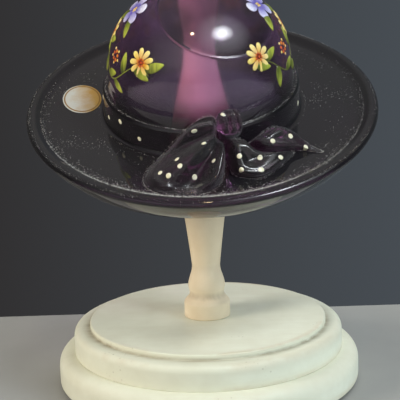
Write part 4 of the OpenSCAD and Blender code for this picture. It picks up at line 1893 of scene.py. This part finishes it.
    def on_band(self) -> None:
        """Fine dust on the band's face."""
        s = self.bow.shape
        azimuth = self.clumped(self.band.count)
        height = self.draw.uniform(s.corner_r, s.band_h - s.band_bevel, self.band.count)
        places = self.turned(azimuth, np.full(height.shape, s.band_r), height)[0]
        normals = directions(azimuth, 0 * azimuth) @ s.turn().T
        size = self.draw.uniform(self.band.low, self.band.high, self.band.count)
        self.spots.append((places, normals, size))

    def in_patches(self) -> None:
        """Loose patches of dust on brim and crown."""
        s = self.bow.shape
        middle = self.draw.integers(0, self.brim_patches, self.brim.count)
        azimuth = self.patched(middle, self.brim_patches, (0, 360), 2.6)
        radius = self.patched(middle, self.brim_patches, self.brim_span, 3.0)
        radius = np.clip(radius, s.band_r + s.corner_r, s.brim_r - 5)
        self.keep(self.turned(azimuth, radius, self.rim_height(radius)), self.brim)
        middle = self.draw.integers(0, self.crown_patches, self.crown.count)
        azimuth = self.patched(middle, self.crown_patches, (0, 360), 6.0)
        rise = np.clip(self.patched(middle, self.crown_patches, self.rise_span, 6.0), 0, self.rise_most)
        way = directions(azimuth, rise)
        self.keep((s.placed(way * s.reach(way)[:, None] + s.dome_z * UP), way @ s.turn().T), self.crown)

    def round_lobe(self, lobe: Lobe) -> tuple[Array, Array]:
        """Places in the corner round a lobe's foot: its outline moved outwards along the valley's floor.

        Args:
            lobe: The lobe.

        Returns:
            Places and unit normals.
        """
        pick = self.draw.uniform(0, len(lobe.outline), self.border.count)
        low = pick.astype(int)
        ahead = lobe.outline[(low + 1) % len(lobe.outline)]
        spot = lobe.outline[low] + (ahead - lobe.outline[low]) * (pick - low)[:, None]
        far = self.border_gap + np.abs(self.draw.normal(0, self.border_spread, len(spot)))
        spot = spot + unit(spot - lobe.hub) * far[:, None]
        free = np.all([other.share(spot[:, 0], spot[:, 1]) > 1.0 for other in self.bow.lobes()], axis=0)
        return self.lying(Canvas(lambda a, b: self.bow.placed(a, -b, self.bow.floor(a, -b))), spot[free])

    def on_lobe(self, lobe: Lobe) -> tuple[Array, Array]:
        """Places on a lobe's top, more of them near its outline.

        Args:
            lobe: The lobe.

        Returns:
            Places and unit normals.
        """
        edge = lobe.outline[self.draw.integers(0, len(lobe.outline), self.lobe.count)]
        share = self.draw.uniform(0.02, 0.9, (self.lobe.count, 1)) ** 0.4
        top = Canvas(lambda a, b: self.bow.placed(a, -b, lobe.out(a, -b, lobe.share(a, -b))))
        return self.lying(top, lobe.hub + (edge - lobe.hub) * share)

    @staticmethod
    def lying(canvas: Canvas, spots: Array) -> tuple[Array, Array]:
        """Chart points laid on a canvas, and the unit normals there."""
        x, q = spots[:, 0], spots[:, 1]
        here = canvas.laid(x, -q, 0 * x)
        return here, canvas.laid(x, -q, 0 * x + 1) - here

    def build(self) -> None:
        """Scatters the flakes and makes them one piece."""
        self.along_edges()
        lobes = self.bow.lobes()
        for lobe in lobes[:3]:
            self.keep(self.round_lobe(lobe), self.border)
        for lobe in lobes:
            self.keep(self.on_lobe(lobe), self.lobe)
        self.on_band()
        self.in_patches()
        points, normals, size = (np.concatenate(parts) for parts in zip(*self.spots))
        grey = DustFinish("settled_dust").material()
        piece("settled_dust", self.flakes(points, normals, size), grey, Body.HAT, Slot.GLASS)


# The label


def about_z(degrees: float) -> Array:
    """The rotation about Z."""
    c, s = math.cos(math.radians(degrees)), math.sin(math.radians(degrees))
    return np.array([[c, -s, 0], [s, c, 0], [0, 0, 1]])


@dataclass
class Label:
    """The blank oval label on the brim."""

    shape: HatShape
    width: float = 25.0
    length: float = 36.0
    thick: float = 0.2
    gap: float = 1.0
    turn: float = -100.0
    spin: float = 22.0
    lift: float = 0.02
    columns: int = 120
    border_at: float = 0.905
    border_w: float = 0.025
    border_depth: float = 0.05
    edge_drop: float = 0.06

    def build(self) -> None:
        """Makes the label: a thin oval disc with a softly rounded edge, its border pressed in a little."""
        s = self.shape
        share = np.concatenate([np.linspace(0.08, 0.84, 10), np.linspace(0.86, 0.98, 9), [1.0]])[:, None]
        angle = around(self.columns)[None]
        x, y = self.length / 2 * share * np.cos(angle), self.width / 2 * share * np.sin(angle)
        press = self.border_depth * np.exp(-((share - self.border_at) / self.border_w) ** 2)
        high = self.thick - press - self.edge_drop * (share > 0.99) + 0 * angle
        out = np.array([0, s.band_r + s.corner_r + self.gap + self.width / 2, 0])
        local = np.stack([and_back(x), and_back(y), np.concatenate([high, np.full(x.shape, self.lift)])], -1)
        turn = about_z(self.turn)
        poles = [s.placed((h * UP - out) @ turn.T) for h in (self.thick, self.lift)]
        shape = rings(s.placed((local @ about_z(self.spin).T - out) @ turn.T), *poles, marks={
            "along": and_back(0.5 + y / self.width), "shade": and_back(share + 0 * angle)})
        piece("brim_label", shape, FoilFinish("label_foil").material(), Body.HAT, Slot.FOIL, ["paper_label"])


# The studio


@dataclass(frozen=True)
class Lamp:
    """One soft lamp panel, in metres and watts.

    A mirrored lamp shows in polished surfaces; a fading one falls from full at its middle to none at
    its edge, as a window behind a thin curtain does.
    """

    name: str
    at: Triple
    aim: Triple
    size: Pair
    watts: float
    tint: Colour
    mirrored: bool = True
    fading: bool = False

    def hang(self) -> None:
        """Adds the panel to the scene, facing its aim."""
        data = bpy.data.lights.new(self.name, "AREA")
        data.shape, data.size, data.size_y = "ELLIPSE", *self.size
        data.energy, data.color = self.watts, self.tint
        away = unit(np.array(self.at) - np.array(self.aim))
        right = unit(np.cross(UP, away))
        spin = np.eye(4)
        spin[:3] = np.stack([right, np.cross(away, right), away, self.at], -1)
        obj = linked(self.name, data)
        obj.matrix_world = Matrix(spin.tolist())
        obj.visible_glossy = obj.visible_transmission = self.mirrored
        if self.fading:
            self.fade(data)

    @staticmethod
    def fade(data: bpy.types.Light) -> None:
        """Lets a panel's light fall off from its middle to its edge."""
        data.use_nodes = True
        net = Net(data.node_tree)
        spot = net.add("NewGeometry").outputs["Parametric"]
        far = net.vector("DISTANCE", spot, (0.5, 0.5, 0.0)).outputs["Value"]
        net.put(net.ranged(far, 0.0, 0.5, 1.0, 0.0), data.node_tree.nodes["Emission"].inputs["Strength"])


AT_STAND: Triple = (0.0, 0.0, 0.17)
AT_DOME: Triple = (0.013, -0.05, 0.224)
LAMPS = (
    Lamp("window", (0.425, -0.442, 1.046), AT_DOME, (0.4, 0.28), 8.0, (0.91, 0.96, 1.0), fading=True),
    Lamp("window_glow", (0.47, -0.47, 1.1), AT_DOME, (1.1, 0.85), 7.5, (0.9, 0.96, 1.0), fading=True),
    Lamp("warm_bulb", (-0.008, -0.56, 1.085), (0.0, -0.05, 0.224), (0.05, 0.05), 0.5, (1.0, 0.72, 0.42)),
    Lamp("key", (1.1, -0.75, 0.55), AT_STAND, (0.8, 0.6), 11.6, (0.8, 0.945, 1.0), mirrored=False),
    Lamp("back", (0.3, 1.0, 0.5), AT_STAND, (0.9, 0.5), 5.2, (0.97, 1.0, 0.97), mirrored=False),
    Lamp("fill", (-1.05, -0.42, 0.56), AT_STAND, (0.6, 0.5), 12.0, (1.0, 0.925, 0.8), mirrored=False))


@dataclass
class Studio:
    """Floor, background, lamps and the camera at the photograph's angle."""

    camera_at: Triple = (-0.0026, -0.631, 0.243)
    pitch: float = 11.31
    roll: float = -1.8
    lens: float = 90.0
    sensor: float = 36.0
    floor_back: float = 0.134
    floor_front: float = -0.9
    floor_side: float = 0.9
    floor_t: float = 0.02
    wall_left: Colour = (50, 49, 50)
    wall_right: Colour = (72, 78, 84)
    ceiling: Colour = (152, 150, 150)
    room: Colour = (215, 213, 216)
    soft_tint: Colour = (0.95, 0.99, 1.0)
    soft: float = 0.23

    def camera(self) -> None:
        """Sets the camera."""
        data = bpy.data.cameras.new("camera")
        data.lens, data.sensor_width = self.lens, self.sensor
        data.clip_start, data.clip_end = 0.01, 50.0
        obj = linked("camera", data)
        tilt, roll = math.radians(90 - self.pitch), math.radians(self.roll)
        obj.matrix_world = (Matrix.Translation(self.camera_at) @ Matrix.Rotation(tilt, 4, "X")
                            @ Matrix.Rotation(roll, 4, "Z"))
        bpy.context.scene.camera = obj

    def floor(self) -> None:
        """A plain pale table top that ends a little way behind the stand."""
        side, back, front = self.floor_side, self.floor_back, self.floor_front
        outline = ((-side, front), (side, front), (side, back), (-side, back))
        points = [(x, y, z) for z in (-self.floor_t, 0.0) for x, y in outline]
        sides = [(i, (i + 1) % 4, (i + 1) % 4 + 4, i + 4) for i in range(4)]
        mesh = bpy.data.meshes.new("table_top")
        mesh.from_pydata(points, [], [(3, 2, 1, 0), (4, 5, 6, 7), *sides])
        mesh.materials.append(TableFinish("table_top").material())
        linked("table_top", mesh)

    def world(self) -> None:
        """A dark grey room, lighter to the right, for the eye and glass; an even soft light for the rest."""
        world = bpy.data.worlds.new("room")
        bpy.context.scene.world = world
        world.use_nodes = True
        world.node_tree.nodes.clear()
        net = Net(world.node_tree)
        right, back, up = net.add("SeparateXYZ", {0: net.add("TexCoord").outputs["Generated"]}).outputs
        wall = net.mix(net.ranged(right, -0.2, 0.22), self.wall_left, self.wall_right)
        near = net.times(net.ranged(back, -0.15, -0.75), net.ranged(up, -0.2, 0.2))
        wall = net.mix(near, wall, self.room)
        wall = net.mix(net.ranged(up, 0.55, 0.9), wall, self.ceiling)
        seen = net.add("Background", {0: wall, 1: 1.0}).outputs[0]
        soft = net.add("Background", {0: (*self.soft_tint, 1.0), 1: self.soft}).outputs[0]
        ray = net.add("LightPath").outputs
        direct = net.maths("MAXIMUM", ray["Is Camera Ray"], ray["Is Glossy Ray"])
        direct = net.maths("MAXIMUM", direct, ray["Is Transmission Ray"])
        net.add("OutputWorld", {0: net.add("MixShader", {0: direct, 1: soft, 2: seen}).outputs[0]})

    def build(self) -> None:
        """Sets the stage."""
        bpy.context.scene.view_settings.view_transform = "Standard"
        self.camera()
        self.floor()
        self.world()
        for lamp in LAMPS:
            lamp.hang()


def main() -> None:
    """Builds the object's classes in order and sets the stage."""
    logging.basicConfig(level=logging.INFO, format="%(name)s: %(message)s")
    shape = HatShape()
    bow = Bow(shape)
    glass = GlassFinish("amethyst", shape)
    bow_glass = replace(glass, name="dusty_amethyst", absorbed=(0.52, 0.045, 0.44), polish=0.13, haze=0.12)
    Base().build()
    Post().build()
    PostPad(shape).build()
    GlassHat(shape).build(glass.material())
    bow.build(bow_glass.material())
    Dots(bow).build()
    Garland(shape).build()
    Dust(bow).build()
    Label(shape).build()
    Studio().build()


if __name__ == "__main__":
    main()
